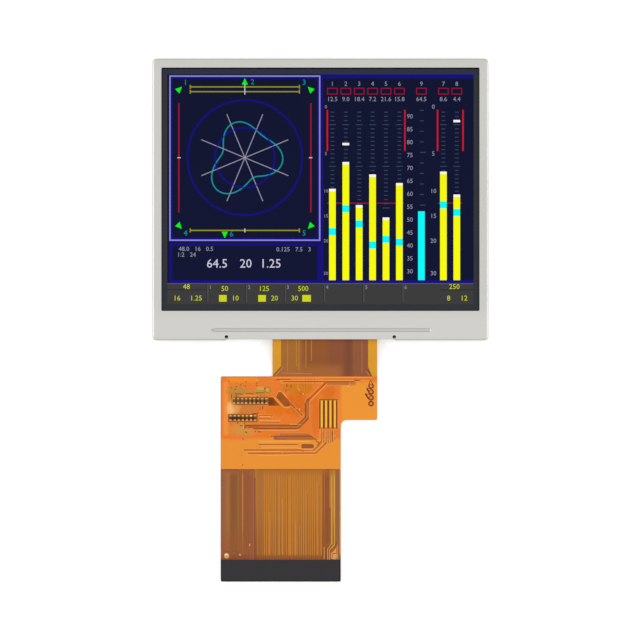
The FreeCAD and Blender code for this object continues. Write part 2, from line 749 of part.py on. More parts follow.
def led_strip(doc):
    """The narrow flexible strip that carries the lamps, with its lead to the main circuit."""
    lead_left = "neck_centre - lead_width / 2"
    lead_right = "neck_centre + lead_width / 2"
    outline = [
        (lead_left, "lead_end"),
        (lead_right, "lead_end"),
        (lead_right, "strip_bottom"),
        ("strip_right", "strip_bottom"),
        ("strip_right", "strip_top"),
        ("-strip_right", "strip_top"),
        ("-strip_right", "strip_bottom"),
        (lead_left, "strip_bottom"),
    ]
    return slab(doc, "led_strip", [outline], "rear_sheet", "strip_thickness")


def lead_joints(doc):
    """The two solder joints between the end of the strip's lead and the main circuit's rear face."""
    joints = []
    for side in (-1, 1):
        centre = f"neck_centre + {side} * joint_spacing / 2"
        joints.append(rectangle(f"{centre} - joint_width / 2", "lead_end - joint_length",
                                f"{centre} + joint_width / 2", "lead_end"))
    return slab(doc, "lead_joints", joints, "flex_floor - strip_thickness", "strip_thickness")


def lamps(doc):
    """Side-emitting lamps along the light guide's lower edge, and the phosphor windows in them."""
    row = "-2 * led_first"
    body = new_body(doc, "backlight_leds")
    case = rectangle("led_first - led_width / 2", "led_front - led_depth", "led_first + led_width / 2",
                     "led_front")
    window = rectangle("led_first - led_width / 2 + led_side_wall", "led_front - led_recess",
                       "led_first + led_width / 2 - led_side_wall", "led_front")
    block = pad(body, "Case", [case], "led_floor", "led_height")
    recess = cut(body, "Recess", [window], "led_floor + led_height - led_wall", "led_height - 2 * led_wall")
    repeat(body, "Row", [block, recess], "X_Axis", row, "led_count")
    phosphor = new_body(doc, "led_windows")
    fill = pad(phosphor, "Window", [window], "led_floor + led_wall", "led_height - 2 * led_wall")
    repeat(phosphor, "Row", [fill], "X_Axis", row, "led_count")
    return [body, phosphor]


def fall_profile(low, high, start, end):
    """Side view of a layer between two heights above the circuit's rear face, through the S-bend.

    Every layer's arcs share the same two centres, so a layer keeps its thickness all along the fall.
    A layer with no end stops at the foot of the fall.
    """
    middle = "(-half_height - neck_length / 2)"
    centre_level = "(filter_floor + flex_floor) / 2"
    joint = {rise: (f"{middle} - ({rise}) * fall_sine", f"{centre_level} + ({rise}) * fall_cosine")
             for rise in (low, high)}
    rear = [
        (start, f"filter_floor + {low}", None),
        ("-half_height", f"filter_floor + {low}", (f"fall_radius + {low}", 1)),
        joint[low] + ((f"fall_radius - ({low})", -1),),
        ("wide_top", f"flex_floor + {low}", None),
    ]
    flat = [(end, f"flex_floor + {rise}", None) for rise in (low, high)] if end else []
    front = [
        ("wide_top", f"flex_floor + {high}", (f"fall_radius - ({high})", 1)),
        joint[high] + ((f"fall_radius + {high}", -1),),
        ("-half_height", f"filter_floor + {high}", None),
        (start, f"filter_floor + {high}", None),
    ]
    return rear + flat + front


def flex_layer(doc, label, low, high, start, end, outlines):
    """A layer of the main circuit: its side view is padded across and trimmed to its plan."""
    body = new_body(doc, label)
    sketch = new_sketch(body, "SideSketch", "YZ_Plane", "0")
    draw(doc, sketch, fall_profile(low, high, start, end))
    band = body.newObject("PartDesign::Pad", "Band")
    band.Profile = sketch
    band.Midplane = True
    band.setExpression("Length", bound("2 * half_width"))
    doc.recompute()
    around = rectangle("-2 * half_width", "tail_end - half_height", "2 * half_width", "2 * half_height")
    cut(body, "Trim", [around] + outlines, "0", None)
    return body


def flex_circuit(doc):
    """The main flexible circuit: neck, wide part with an ear on the right, and the long tail."""
    outline = [
        ("neck_left", "wide_top", "outer_corner_radius"),
        ("tail_left", "wide_top", "outer_corner_radius"),
        ("tail_left", "tail_end", "outer_corner_radius"),
        ("tail_right", "tail_end", "outer_corner_radius"),
        ("tail_right", "ear_bottom", "inner_corner_radius"),
        ("neck_right", "ear_bottom", "outer_corner_radius"),
        ("neck_right", "bond_edge"),
        ("neck_left", "bond_edge"),
    ]
    return flex_layer(doc, "flex_circuit", "0", "flex_thickness", "bond_edge", "tail_end", [outline])


def neck_traces(doc):
    """The copper of the neck: one sheet with narrow gaps, flaring outward where the neck ends."""
    left = "neck_left + neck_left_strip"
    right = "neck_right - neck_right_strip"
    top = "-core_top"
    sheet = [
        (f"{left} - flare_width", "wide_top"),
        (f"{right} + flare_width / 2", "wide_top"),
        (right, "wide_top + flare_length"),
        (right, top),
        (left, top),
        (left, "wide_top + flare_length"),
    ]
    gaps = []
    for step, reach in NECK_GAPS:
        centre = f"{left} + {step} / 100 * ({right} - ({left}))"
        foot = f"{top} - {reach} / 100 * ({top} - wide_top)"
        gaps.append(rectangle(f"{centre} - neck_gap / 2", foot, f"{centre} + neck_gap / 2", f"{top} - neck_gap"))
    return flex_layer(doc, "neck_traces", "flex_thickness", "flex_thickness + copper_thickness",
                      top, None, [sheet] + gaps)


def contact_x(number):
    """Centre line of a tail contact: counted from the left, or from the right if negative."""
    if number < 0:
        return f"tail_right - contact_margin - {-number - 1} * contact_spacing"
    return f"tail_left + contact_margin + {number} * contact_spacing"


def jogged(number, share):
    """Outline of a trace that runs down the tail and steps to the left above the stiffener."""
    right = f"{contact_x(number)} + trace_width / 2"
    left = f"{contact_x(number)} - trace_width / 2"
    bend = f"(stiffener_top + {share} * jog_rise)"
    slant = "trace_width / 2 * tan(22.5)"
    return [
        (f"{left} - jog_shift", "stiffener_top"),
        (f"{right} - jog_shift", "stiffener_top"),
        (f"{right} - jog_shift", f"{bend} - jog_shift - {slant}"),
        (right, f"{bend} - {slant}"),
        (right, "cover_bottom"),
        (left, "cover_bottom"),
        (left, f"{bend} + {slant}"),
        (f"{left} - jog_shift", f"{bend} - jog_shift + {slant}"),
    ]


def tail_traces(doc):
    """The copper of the tail: joined bands for supply and ground, single traces for signals."""
    body = new_body(doc, "tail_traces")
    half = "trace_width / 2"
    bands = [rectangle(f"{contact_x(first)} - {half}", f"stiffener_top + {share} * jog_rise",
                       f"{contact_x(last)} + {half}", "cover_bottom") for first, last, share in TAIL_BANDS]
    pad(body, "Bands", bands, "flex_front", "copper_thickness")
    steps = [jogged(number, share) for number, share in JOGGED_CONTACTS]
    pad(body, "Jogged", steps, "flex_front", "copper_thickness")
    first = contact_x(CONTACTS_BEFORE_RUN)
    trace = rectangle(f"{first} - {half}", "stiffener_top", f"{first} + {half}", "cover_bottom")
    one = pad(body, "Trace", [trace], "flex_front", "copper_thickness")
    count = f"(contact_count - {CONTACTS_BEFORE_RUN + CONTACTS_AFTER_RUN})"
    repeat(body, "Run", [one], "X_Axis", f"({count} - 1) * contact_spacing", count)
    return body


def contact_fingers(doc):
    """The gold contacts on the rear face of the tail's end."""
    body = new_body(doc, "contact_fingers")
    finger = rectangle(f"{contact_x(0)} - contact_width / 2", "tail_end + contact_inset",
                       f"{contact_x(0)} + contact_width / 2", "tail_end + contact_inset + contact_length")
    one = pad(body, "Finger", [finger], "flex_floor - copper_thickness", "copper_thickness")
    repeat(body, "Row", [one], "X_Axis", "(contact_count - 1) * contact_spacing", "contact_count")
    return body


def tail_stiffener(doc):
    """The stiffener on the front of the tail's end: it brings the tail to the connector's thickness."""
    outline = rectangle("tail_left", "tail_end", "tail_right", "stiffener_top")
    outline[0] = outline[0] + ("outer_corner_radius",)
    outline[1] = outline[1] + ("outer_corner_radius",)
    return slab(doc, "tail_stiffener", [outline], "flex_front",
                "insertion_thickness - flex_thickness - copper_thickness")


def grid_point(doc, step):
    """A point of the routing grid, which starts at the wide part's upper left corner."""
    grid = value(doc, "grid")
    return FreeCAD.Vector(value(doc, "tail_left") + step[0] * grid, value(doc, "wide_top") - step[1] * grid)


def widened(line, half):
    """Outline of a strip that follows a centre line at an even width, mitred at its bends."""
    runs = [(ahead - spot).normalize() for spot, ahead in zip(line, line[1:])]
    edges = ([], [])
    for number, spot in enumerate(line):
        before = runs[max(number - 1, 0)]
        after = runs[min(number, len(runs) - 1)]
        mitre = FreeCAD.Vector(-before.y - after.y, before.x + after.x)
        mitre = mitre * (half * 2 / mitre.dot(mitre))
        edges[0].append(spot + mitre)
        edges[1].append(spot - mitre)
    return edges[0] + edges[1][::-1]


def copper(doc, outline):
    """A flat piece of copper with straight edges."""
    face = Part.Face(Part.makePolygon(outline + outline[:1]))
    return face.extrude(FreeCAD.Vector(0, 0, value(doc, "copper_thickness")))


def signal_traces(doc):
    """The copper of the wide part: routes of even width and wider areas, under the cover film."""
    grid = value(doc, "grid")
    outlines = [widened([grid_point(doc, step) for step in line], width * grid / 2) for width, line in ROUTES]
    outlines += [[grid_point(doc, step) for step in corners] for corners in COPPER_AREAS]
    solids = [copper(doc, outline) for outline in outlines]
    feature = doc.addObject("Part::Feature", "signal_traces")
    feature.Shape = solids[0].multiFuse(solids[1:]).removeSplitter()
    feature.setExpression("Placement.Base.z", bound("flex_front"))
    doc.recompute()
    return feature


def touch_pad_plan():
    """Left, bottom, right and top of the first touch panel pad, and the length of the row of them."""
    left = "tail_left + touch_pad_column * grid - touch_pad_width / 2"
    top = "wide_top - touch_pad_row * grid"
    row = "(touch_pad_count - 1) * touch_pad_steps * grid"
    return left, f"{top} - touch_pad_rows * grid", f"{left} + touch_pad_width", top, row


def touch_pads(doc):
    """The bare gold pads for a touch panel's tail."""
    body = new_body(doc, "touch_pads")
    left, low, right, high, row = touch_pad_plan()
    one = pad(body, "Pad", [rectangle(left, low, right, high)], "flex_front", "copper_thickness")
    repeat(body, "Row", [one], "X_Axis", row, "touch_pad_count")
    return body


def test_pad_centre(number):
    """Centre of a test point on the ear, counted downward."""
    return "neck_right - test_pad_inset", f"wide_top - test_pad_row * grid - {number} * test_pad_pitch"


def test_pads(doc):
    """The round test points on the ear."""
    body = new_body(doc, "test_pads")
    across, up = test_pad_centre(0)
    one = pad(body, "Pad", [], "flex_front", "copper_thickness", circles=[(across, up, "test_pad_radius")])
    row = repeat(body, "Row", [one], "Y_Axis", "(test_pad_count - 1) * test_pad_pitch", "test_pad_count")
    row.Reversed = True
    doc.recompute()
    return body


def chip_plan(kind):
    """Left, bottom, right and top of a row's first chip with its soldered ends, and the row's length."""
    left = f"tail_left + {kind}_column * grid"
    top = f"wide_top - {kind}_row * grid"
    row = f"({kind}_count - 1) * {kind}_steps * grid"
    return left, f"{top} - {kind}_length", f"{left} + {kind}_width", top, row


def component_coverlay(doc):
    """The orange cover film of the wide part, open over the pads, the chips and the copper."""
    film = new_body(doc, "cover_film")
    outline = [
        ("tail_left", "cover_bottom"),
        ("tail_right", "cover_bottom"),
        ("tail_right", "ear_bottom", "inner_corner_radius"),
        ("neck_right", "ear_bottom", "outer_corner_radius"),
        ("neck_right", "wide_top"),
        ("tail_left", "wide_top", "outer_corner_radius"),
    ]
    pad(film, "Film", [outline], "flex_front", "cover_thickness")
    plans = [(touch_pad_plan(), "touch_window_margin")]
    plans += [(chip_plan(kind), "terminal_length") for kind in ("capacitor", "resistor")]
    openings = [rectangle(f"{left} - {margin}", f"{low} - {margin}", f"{right} + {row} + {margin}",
                          f"{high} + {margin}") for (left, low, right, high, row), margin in plans]
    rings = [test_pad_centre(number) + ("test_pad_radius + test_pad_clearance",)
             for number in range(SIZES["test_pad_count"])]
    cut(film, "Openings", openings, "flex_front + cover_thickness", None, circles=rings)
    opened = doc.addObject("Part::Cut", "component_coverlay")
    opened.Base = film
    opened.Tool = doc.getObject("signal_traces")
    doc.recompute()
    return opened


def chips(doc):
    """The two rows of chips: ceramic bodies, and the soldered ends of all of them as one group."""
    bodies = []
    ends = new_body(doc, "chip_terminals")
    for kind, label in (("capacitor", "chip_capacitors"), ("resistor", "chip_resistors")):
        left, low, right, high, row = chip_plan(kind)
        body = new_body(doc, label)
        middle = rectangle(left, f"{low} + terminal_length", right, f"{high} - terminal_length")
        block = pad(body, "Block", [middle], "flex_front", f"{kind}_height")
        repeat(body, "Row", [block], "X_Axis", row, f"{kind}_count")
        bodies.append(body)
        pair = [rectangle(left, low, right, f"{low} + terminal_length"),
                rectangle(left, f"{high} - terminal_length", right, high)]
        ends_of_one = pad(ends, f"Ends{label}", pair, "flex_front", f"{kind}_height + terminal_proud")
        repeat(ends, f"Row{label}", [ends_of_one], "X_Axis", row, f"{kind}_count")
    return bodies + [ends]


def alignment_pads(doc):
    """The round and the square pad just above the stiffener."""
    level = "stiffener_top + alignment_pad_rise"
    round_pad = ("tail_left + alignment_pad_inset", level, "alignment_pad_radius")
    centre = "tail_right - alignment_pad_inset"
    half = "alignment_square / 2"
    square = rectangle(f"{centre} - {half}", f"{level} - {half}", f"{centre} + {half}", f"{level} + {half}")
    return slab(doc, "alignment_pads", [square], "flex_front", "copper_thickness", circles=[round_pad])


def pixel_fields(fields):
    """Outlines of picture fields given in whole pixels."""
    def across(column):
        return f"picture_left + {column} * pixel_size"

    def up(row):
        return f"picture_bottom + {row} * pixel_size"

    return [rectangle(across(left), up(low), across(right), up(high)) for left, low, right, high in fields]


def picture(doc):
    """The lit picture as thin fields on the polarizer: a dark ground, and what is drawn on it."""
    whole = [(0, 0, SIZES["pixel_columns"], SIZES["pixel_rows"])]
    upper = "cushion_floor + picture_thickness"
    return [
        slab(doc, "picture_ground", pixel_fields(whole), "cushion_floor", "picture_thickness"),
        slab(doc, "picture_panels", frames_of(PANEL_FIELDS), upper, "picture_thickness"),
        slab(doc, "picture_yellow_bars", pixel_fields(YELLOW_BARS), upper, "picture_thickness"),
        slab(doc, "picture_cyan_bars", pixel_fields(CYAN_BARS), upper, "picture_thickness"),
        slab(doc, "picture_keys", pixel_fields(KEY_FIELDS), upper, "picture_thickness"),
    ]


def frames_of(fields):
    """Each panel's border, one pixel wide: its outline and the outline one pixel inside."""
    inner = [(left + 1, low + 1, right - 1, high - 1) for left, low, right, high in fields]
    return pixel_fields(fields) + pixel_fields(inner)


def build(doc):
    """Builds every sub-part and gives them in a list."""
    fill_sheet(doc, "Sizes", {alias: str(size) for alias, size in SIZES.items()})
    fill_sheet(doc, "Places", {alias: "=" + bound(formula) for alias, formula in PLACES.items()})
    parts = [front_bezel(doc), rear_plate(doc), moulded_frame(doc)]
    parts += backlight_sheets(doc)
    parts += [rim_tape(doc), bezel_cushion(doc)]
    parts += cell(doc)
    parts += [led_strip(doc), lead_joints(doc)]
    parts += lamps(doc)
    parts += [flex_circuit(doc), neck_traces(doc), tail_traces(doc), contact_fingers(doc), tail_stiffener(doc)]
    parts += [signal_traces(doc), component_coverlay(doc), touch_pads(doc), test_pads(doc), alignment_pads(doc)]
    parts += chips(doc)
    parts += picture(doc)
    return parts


def check(doc, parts):
    """Stops if any feature failed or any sub-part has no sound shape."""
    for item in doc.Objects:
        if "Invalid" in item.State or "Error" in item.State:
            raise ValueError(f"{item.Label} did not build: {item.State}")
    for part in parts:
        if part.Shape.isNull() or not part.Shape.isValid() or not part.Shape.Solids:
            raise ValueError(f"{part.Label} has no sound solid")


def main():
    """Builds the document, checks it and writes one file for each sub-part."""
    doc = FreeCAD.newDocument("DisplayModule")
    parts = build(doc)
    doc.recompute()
    check(doc, parts)
    os.makedirs("parts", exist_ok=True)
    for part in parts:
        part.Shape.exportStep(f"parts/{part.Label}.step")
        print(f"{part.Label}: {len(part.Shape.Solids)} solids, {part.Shape.Volume:.3f} mm3")


main()
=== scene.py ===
"""Looks of a flat display module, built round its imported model.

The lit picture, the printed circuit's fine detail, the finishes and the studio are classes. The
sub-assemblies take their places from the model's own nodes, so a piece goes where the model says. Lengths
are metres, and colours are written as they appear on a screen, from 0 to 255.
"""
import logging
import math
from dataclasses import dataclass, field
from enum import Enum

import bpy
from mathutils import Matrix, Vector


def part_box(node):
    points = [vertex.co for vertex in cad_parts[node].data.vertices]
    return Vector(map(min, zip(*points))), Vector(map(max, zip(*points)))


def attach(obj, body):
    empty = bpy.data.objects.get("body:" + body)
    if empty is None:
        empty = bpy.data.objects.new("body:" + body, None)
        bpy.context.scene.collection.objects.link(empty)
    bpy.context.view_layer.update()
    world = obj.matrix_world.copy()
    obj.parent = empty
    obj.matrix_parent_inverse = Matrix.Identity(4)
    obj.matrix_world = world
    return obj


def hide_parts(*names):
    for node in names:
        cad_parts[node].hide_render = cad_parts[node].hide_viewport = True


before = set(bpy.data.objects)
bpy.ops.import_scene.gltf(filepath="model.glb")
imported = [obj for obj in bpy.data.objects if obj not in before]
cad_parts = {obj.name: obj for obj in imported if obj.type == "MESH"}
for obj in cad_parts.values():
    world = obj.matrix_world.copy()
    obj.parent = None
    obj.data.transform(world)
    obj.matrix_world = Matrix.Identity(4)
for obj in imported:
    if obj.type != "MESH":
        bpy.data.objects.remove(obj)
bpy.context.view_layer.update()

MM = 0.001
Colour = tuple[int, int, int]
Point = tuple[float, float]
Rectangle = tuple[float, float, float, float]
Box = tuple[Vector, Vector]
MERGE_GAP = 1e-7  # corners nearer than this, in metres, become one
WHITE = (1.0, 1.0, 1.0, 1.0)
BLACK = (0.0, 0.0, 0.0, 1.0)
log = logging.getLogger("display module")


def linear(colour: Colour) -> tuple[float, float, float, float]:
    """Turns a screen colour into the linear colour that a shader takes.

    Args:
        colour: red, green and blue from 0 to 255.

    Returns:
        Linear red, green, blue and a full alpha.
    """
    shares = [channel / 255 for channel in colour]
    curve = [share / 12.92 if share <= 0.04045 else ((share + 0.055) / 1.055) ** 2.4 for share in shares]
    return curve[0], curve[1], curve[2], 1.0


class Side(Enum):
    """Which faces of a thin sheet show something."""

    BOTH = 0
    FRONT = 1
    BACK = -1


class Signal:
    """A node's output that can stand in Python arithmetic."""

    def __init__(self, graph: "Graph", socket: "bpy.types.NodeSocket | None") -> None:
        """Wraps one socket of a graph."""
        self.graph = graph
        self.socket = socket

    def __add__(self, other: "Signal | float") -> "Signal":
        """Sum."""
        return self.graph.maths("ADD", self, other)

    def __radd__(self, other: float) -> "Signal":
        """Sum with a number on the left."""
        return self.graph.maths("ADD", other, self)

    def __sub__(self, other: "Signal | float") -> "Signal":
        """Difference."""
        return self.graph.maths("SUBTRACT", self, other)

    def __rsub__(self, other: float) -> "Signal":
        """Difference from a number on the left."""
        return self.graph.maths("SUBTRACT", other, self)

    def __mul__(self, other: "Signal | float") -> "Signal":
        """Product."""
        return self.graph.maths("MULTIPLY", self, other)

    def __rmul__(self, other: float) -> "Signal":
        """Product with a number on the left."""
        return self.graph.maths("MULTIPLY", other, self)


class Graph:
    """The nodes of a material or of the world, written as expressions."""

    def __init__(self, owner: "bpy.types.Material | bpy.types.World") -> None:
        """Takes the owner's nodes and empties them.

        Args:
            owner: the material or the world that the nodes belong to.
        """
        owner.use_nodes = True
        self.owner = owner
        self.tree = owner.node_tree
        self.tree.nodes.clear()
        self.axes: dict[str, Signal] = {}
        self.waver: Signal | None = None

    def feed(self, socket: bpy.types.NodeSocket, entry: "Signal | float | tuple") -> None:
        """Links a signal to a socket, or sets the socket's own value.

        Args:
            socket: the input socket.
            entry: the signal or the value that it gets.
        """
        if isinstance(entry, Signal):
            self.tree.links.new(entry.socket, socket)
        else:
            socket.default_value = entry

    def node(self, kind: str, settings: dict | None = None, inputs: dict | None = None,
             output: int | str = 0) -> Signal:
        """Adds any node.

        Args:
            kind: the node's type.
            settings: its own properties, set before anything else.
            inputs: values or signals for its input sockets, by name or number.
            output: which output is wanted.

        Returns:
            The chosen output, or an empty signal for an output node, which has none.
        """
        made = self.tree.nodes.new(kind)
        for key, setting in (settings or {}).items():
            setattr(made, key, setting)
        for key, entry in (inputs or {}).items():
            self.feed(made.inputs[key], entry)
        return Signal(self, made.outputs[output] if made.outputs else None)

    def maths(self, operation: str, *terms: "Signal | float") -> Signal:
        """One step of arithmetic on numbers."""
        return self.node("ShaderNodeMath", {"operation": operation}, dict(enumerate(terms)))

    def mix(self, share: "Signal | float", first: "Signal | tuple", second: "Signal | tuple") -> Signal:
        """Blends two colours: a share of 0 gives the first and 1 the second."""
        return self.node("ShaderNodeMix", {"data_type": "RGBA"}, {0: share, 6: first, 7: second}, output=2)

    def place(self) -> Signal:
        """Where a point lies on the module."""
        return self.node("ShaderNodeTexCoord", output="Object")

    def axis(self, letter: str) -> Signal:
        """One coordinate of the point.

        Args:
            letter: X, Y or Z.

        Returns:
            The coordinate, in metres.
        """
        if letter not in self.axes:
            self.axes[letter] = self.node("ShaderNodeSeparateXYZ", inputs={0: self.place()}, output=letter)
        return self.axes[letter]

    def noise(self, size: float, stretch: tuple[float, float, float] = (1.0, 1.0, 1.0),
              detail: float = 2.0) -> Signal:
        """A soft random field from 0 to 1.

        Args:
            size: width of a patch.
            stretch: how much longer a patch is along X, Y and Z.
            detail: how many finer octaves it has.

        Returns:
            The field.
        """
        scale = tuple(1.0 / (size * share) for share in stretch)
        spot = self.node("ShaderNodeMapping", inputs={"Vector": self.place(), "Scale": scale})
        return self.node("ShaderNodeTexNoise", inputs={"Vector": spot, "Scale": 1.0, "Detail": detail})

    def ragged(self) -> Signal:
        """A small drift from -0.5 to 0.5 that makes a field's edge uneven.

        Returns:
            The drift.
        """
        if self.waver is None:
            self.waver = self.noise(0.9 * MM, detail=3.0) - 0.5
        return self.waver

    def rise(self, value: Signal, edge: float, soft: float) -> Signal:
        """Goes from 0 to 1 as a value passes an edge, over a soft width."""
        limits = {"Value": value, "From Min": edge - soft / 2, "From Max": edge + soft / 2}
        return self.node("ShaderNodeMapRange", {"interpolation_type": "SMOOTHSTEP"}, limits)

    def between(self, value: Signal, low: float, high: float, soft: float) -> Signal:
        """1 where a value lies between two edges and 0 elsewhere."""
        return self.rise(value, low, soft) - self.rise(value, high, soft)

    def facing(self, side: Side) -> Signal:
        """1 on the faces that look to the front, or to the back, and 0 on the others.

        Args:
            side: the side that counts.

        Returns:
            The share.
        """
        normal = self.node("ShaderNodeTexCoord", output="Normal")
        upward = self.node("ShaderNodeSeparateXYZ", inputs={0: normal}, output="Z")
        return self.rise(upward * side.value, 0.3, 0.2)

    def bump(self, height: Signal, depth: float) -> Signal:
        """The normal of a relief of a given depth."""
        return self.node("ShaderNodeBump", inputs={"Height": height, "Distance": depth, "Strength": 1.0})

    def principled(self, sockets: dict) -> bpy.types.Material:
        """Closes the material with a principled surface.

        Args:
            sockets: values or signals by the surface's socket names.

        Returns:
            The finished material.
        """
        self.close("ShaderNodeOutputMaterial", self.node("ShaderNodeBsdfPrincipled", inputs=sockets))
        return self.owner

    def close(self, kind: str, surface: Signal) -> None:
        """Joins a surface to an output node of the given type."""
        self.node(kind, inputs={"Surface": surface})


@dataclass(frozen=True)
class Finish:
    """A surface whose colour drifts between two tones, with a fine grain in its gloss and relief.

    Attributes:
        name: the material's name.
        tone: main colour.
        other: the tone that it drifts to.
        patch: width of a patch of drift.
        rough: mean roughness.
        rough_play: how far the roughness goes either side.
        metal: 1 for bare metal.
        shine: strength of the plain reflection, where 0.5 is that of bare plastic.
        coat: weight of a clear layer on top.
        grain: width of the fine grain.
        stretch: how much longer the grain is along each axis.
        depth: depth of the grain's relief.
    """

    name: str
    tone: Colour
    other: Colour
    patch: float = 6 * MM
    rough: float = 0.4
    rough_play: float = 0.06
    metal: float = 0.0
    shine: float = 0.2
    coat: float = 0.0
    grain: float = 0.25 * MM
    stretch: tuple[float, float, float] = (1.0, 1.0, 1.0)
    depth: float = 0.0

    def colour(self, graph: Graph) -> Signal:
        """The colour over the surface."""
        return graph.mix(graph.noise(self.patch), linear(self.tone), linear(self.other))

    def sockets(self, graph: Graph) -> dict:
        """What the surface's sockets get.

        Args:
            graph: the nodes to add to.

        Returns:
            Values and signals by the surface's socket names.
        """
        grain = graph.noise(self.grain, self.stretch, 3.0)
        sockets = {
            "Base Color": self.colour(graph),
            "Roughness": grain * (2 * self.rough_play) + (self.rough - self.rough_play),
            "Metallic": self.metal,
            "Specular IOR Level": self.shine,
            "Coat Weight": self.coat,
            "Coat Roughness": 0.12,
        }
        if self.depth:
            sockets["Normal"] = graph.bump(grain, self.depth)
        return sockets

    def material(self) -> bpy.types.Material:
        """Builds the material once and gives the same one after that.

        Returns:
            The material.
        """
        made = bpy.data.materials.get(self.name)
        if made:
            return made
        graph = Graph(bpy.data.materials.new(self.name))
        return graph.principled(self.sockets(graph))


@dataclass(frozen=True)
class Zone:
    """A field of another colour with soft edges.

    Attributes:
        tone: its colour.
        area: its left, bottom, right and top.
        soft: width over which it fades in.
        weight: how strong it is, up to 1.
        round: whether it is an oval that fades from its centre out, with no soft width of its own.
        side: which faces of a thin sheet show it.
    """

    tone: Colour
    area: Rectangle
    soft: float = 0.3 * MM
    weight: float = 1.0
    round: bool = False
    side: Side = Side.BOTH

    def spread(self, graph: Graph) -> Signal:
        """How far a point lies inside the field's outline, from 0 to 1.

        Args:
            graph: the nodes to add to.

        Returns:
            The share.
        """
        left, low, right, high = self.area
        if self.round:
            aside = (graph.axis("X") - (left + right) / 2) * (2 / (right - left))
            along = (graph.axis("Y") - (low + high) / 2) * (2 / (high - low))
            return 1.0 - graph.rise(aside * aside + along * along + graph.ragged() * 1.6, 0.5, 1.0)
        across = graph.between(graph.axis("X"), left, right, self.soft)
        return across * graph.between(graph.axis("Y"), low, high, self.soft)

    def mask(self, graph: Graph) -> Signal:
        """How strong the field is at a point."""
        strength = self.spread(graph) * self.weight
        return strength if self.side is Side.BOTH else strength * graph.facing(self.side)


@dataclass(frozen=True)
class ZonedFinish(Finish):
    """A finish with fields of other colours, the later ones over the earlier ones.

    Attributes:
        zones: the fields.
    """

    zones: tuple[Zone, ...] = ()

    def colour(self, graph: Graph) -> Signal:
        """The drifting tone with its fields.

        Args:
            graph: the nodes to add to.

        Returns:
            The colour over the surface.
        """
        colour = super().colour(graph)
        for zone in self.zones:
            colour = graph.mix(zone.mask(graph), colour, linear(zone.tone))
        return colour


@dataclass(frozen=True)
class StreakedFinish(ZonedFinish):
    """A zoned finish with fine streaks along Y that grow clearer downward, dark ones and even light ones.

    Attributes:
        streak: colour of the dark streaks.
        light: colour of the light ones.
        width: width of the dark streaks.
        length: how much longer than wide they are.
        pitch: distance from one light streak to the next.
        clear: level midway between where they are clearest and where they are faintest.
        fade: height over which they grow.
        area: left, bottom, right and top of the field that has streaks.
        side: which faces of a thin sheet have them.
        dark: strength of the dark streaks at the foot, and how much of it is gone at the top.
        bright: the same for the light ones.
    """

    streak: Colour = (0, 0, 0)
    light: Colour = (255, 255, 255)
    width: float = 0.3 * MM
    length: float = 300.0
    pitch: float = 0.5 * MM
    clear: float = 0.0
    fade: float = 20 * MM
    area: Rectangle = (0.0, 0.0, 0.0, 0.0)
    side: Side = Side.BOTH
    dark: Point = (0.6, 0.46)
    bright: Point = (0.8, 0.72)

    def colour(self, graph: Graph) -> Signal:
        """The zoned colour under its streaks.

        Args:
            graph: the nodes to add to.

        Returns:
            The colour over the surface.
        """
        left, low, right, high = self.area
        along = graph.between(graph.axis("Y"), low, high, 0.1 * MM)
        if self.side is not Side.BOTH:
            along = along * graph.facing(self.side)
        drawn = graph.noise(self.width, (1.0, self.length, 1.0), 1.0)
        lines = graph.rise(drawn, 0.52, 0.2) * along
        upward = graph.rise(graph.axis("Y"), self.clear, self.fade)
        strength = lines * (self.dark[0] - upward * self.dark[1])
        lined = graph.mix(strength, super().colour(graph), linear(self.streak))
        wave = graph.maths("SINE", (graph.axis("X") - left) * (2 * math.pi / self.pitch))
        share = graph.rise(wave, 0.5, 1.0) * graph.between(graph.axis("X"), left, right, MM) * along
        return graph.mix(share * (self.bright[0] - upward * self.bright[1]), lined, linear(self.light))


@dataclass(frozen=True)
class ClearFinish(Finish):
    """A finish that lets light through.

    Attributes:
        through: how much of the light passes.
    """

    through: float = 0.9

    def sockets(self, graph: Graph) -> dict:
        """Adds the light that passes through."""
        return super().sockets(graph) | {"Transmission Weight": self.through, "IOR": 1.5}


@dataclass(frozen=True)
class LitFinish(Finish):
    """Lit pixels behind the screen's film: brighter towards the lamps, under a satin surface.

    Attributes:
        foot: level of the screen's lower edge, beside the lamps.
        height: height of the lit picture.
        fading: how much of the light is gone at the top.
    """

    foot: float = 0.0
    height: float = 1.0
    fading: float = 0.07

    def sockets(self, graph: Graph) -> dict:
        """Moves the colour to the glow and leaves a dark, satin film over it.

        Args:
            graph: the nodes to add to.

        Returns:
            Values and signals by the surface's socket names.
        """
        glow = self.colour(graph)
        away = graph.rise(graph.axis("Y"), self.foot + self.height / 2, self.height)
        dimmed = graph.mix(away * self.fading, glow, BLACK)
        film = {"Base Color": BLACK, "Emission Color": dimmed, "Emission Strength": 1.0,
                "Specular IOR Level": 0.04}
        return super().sockets(graph) | film


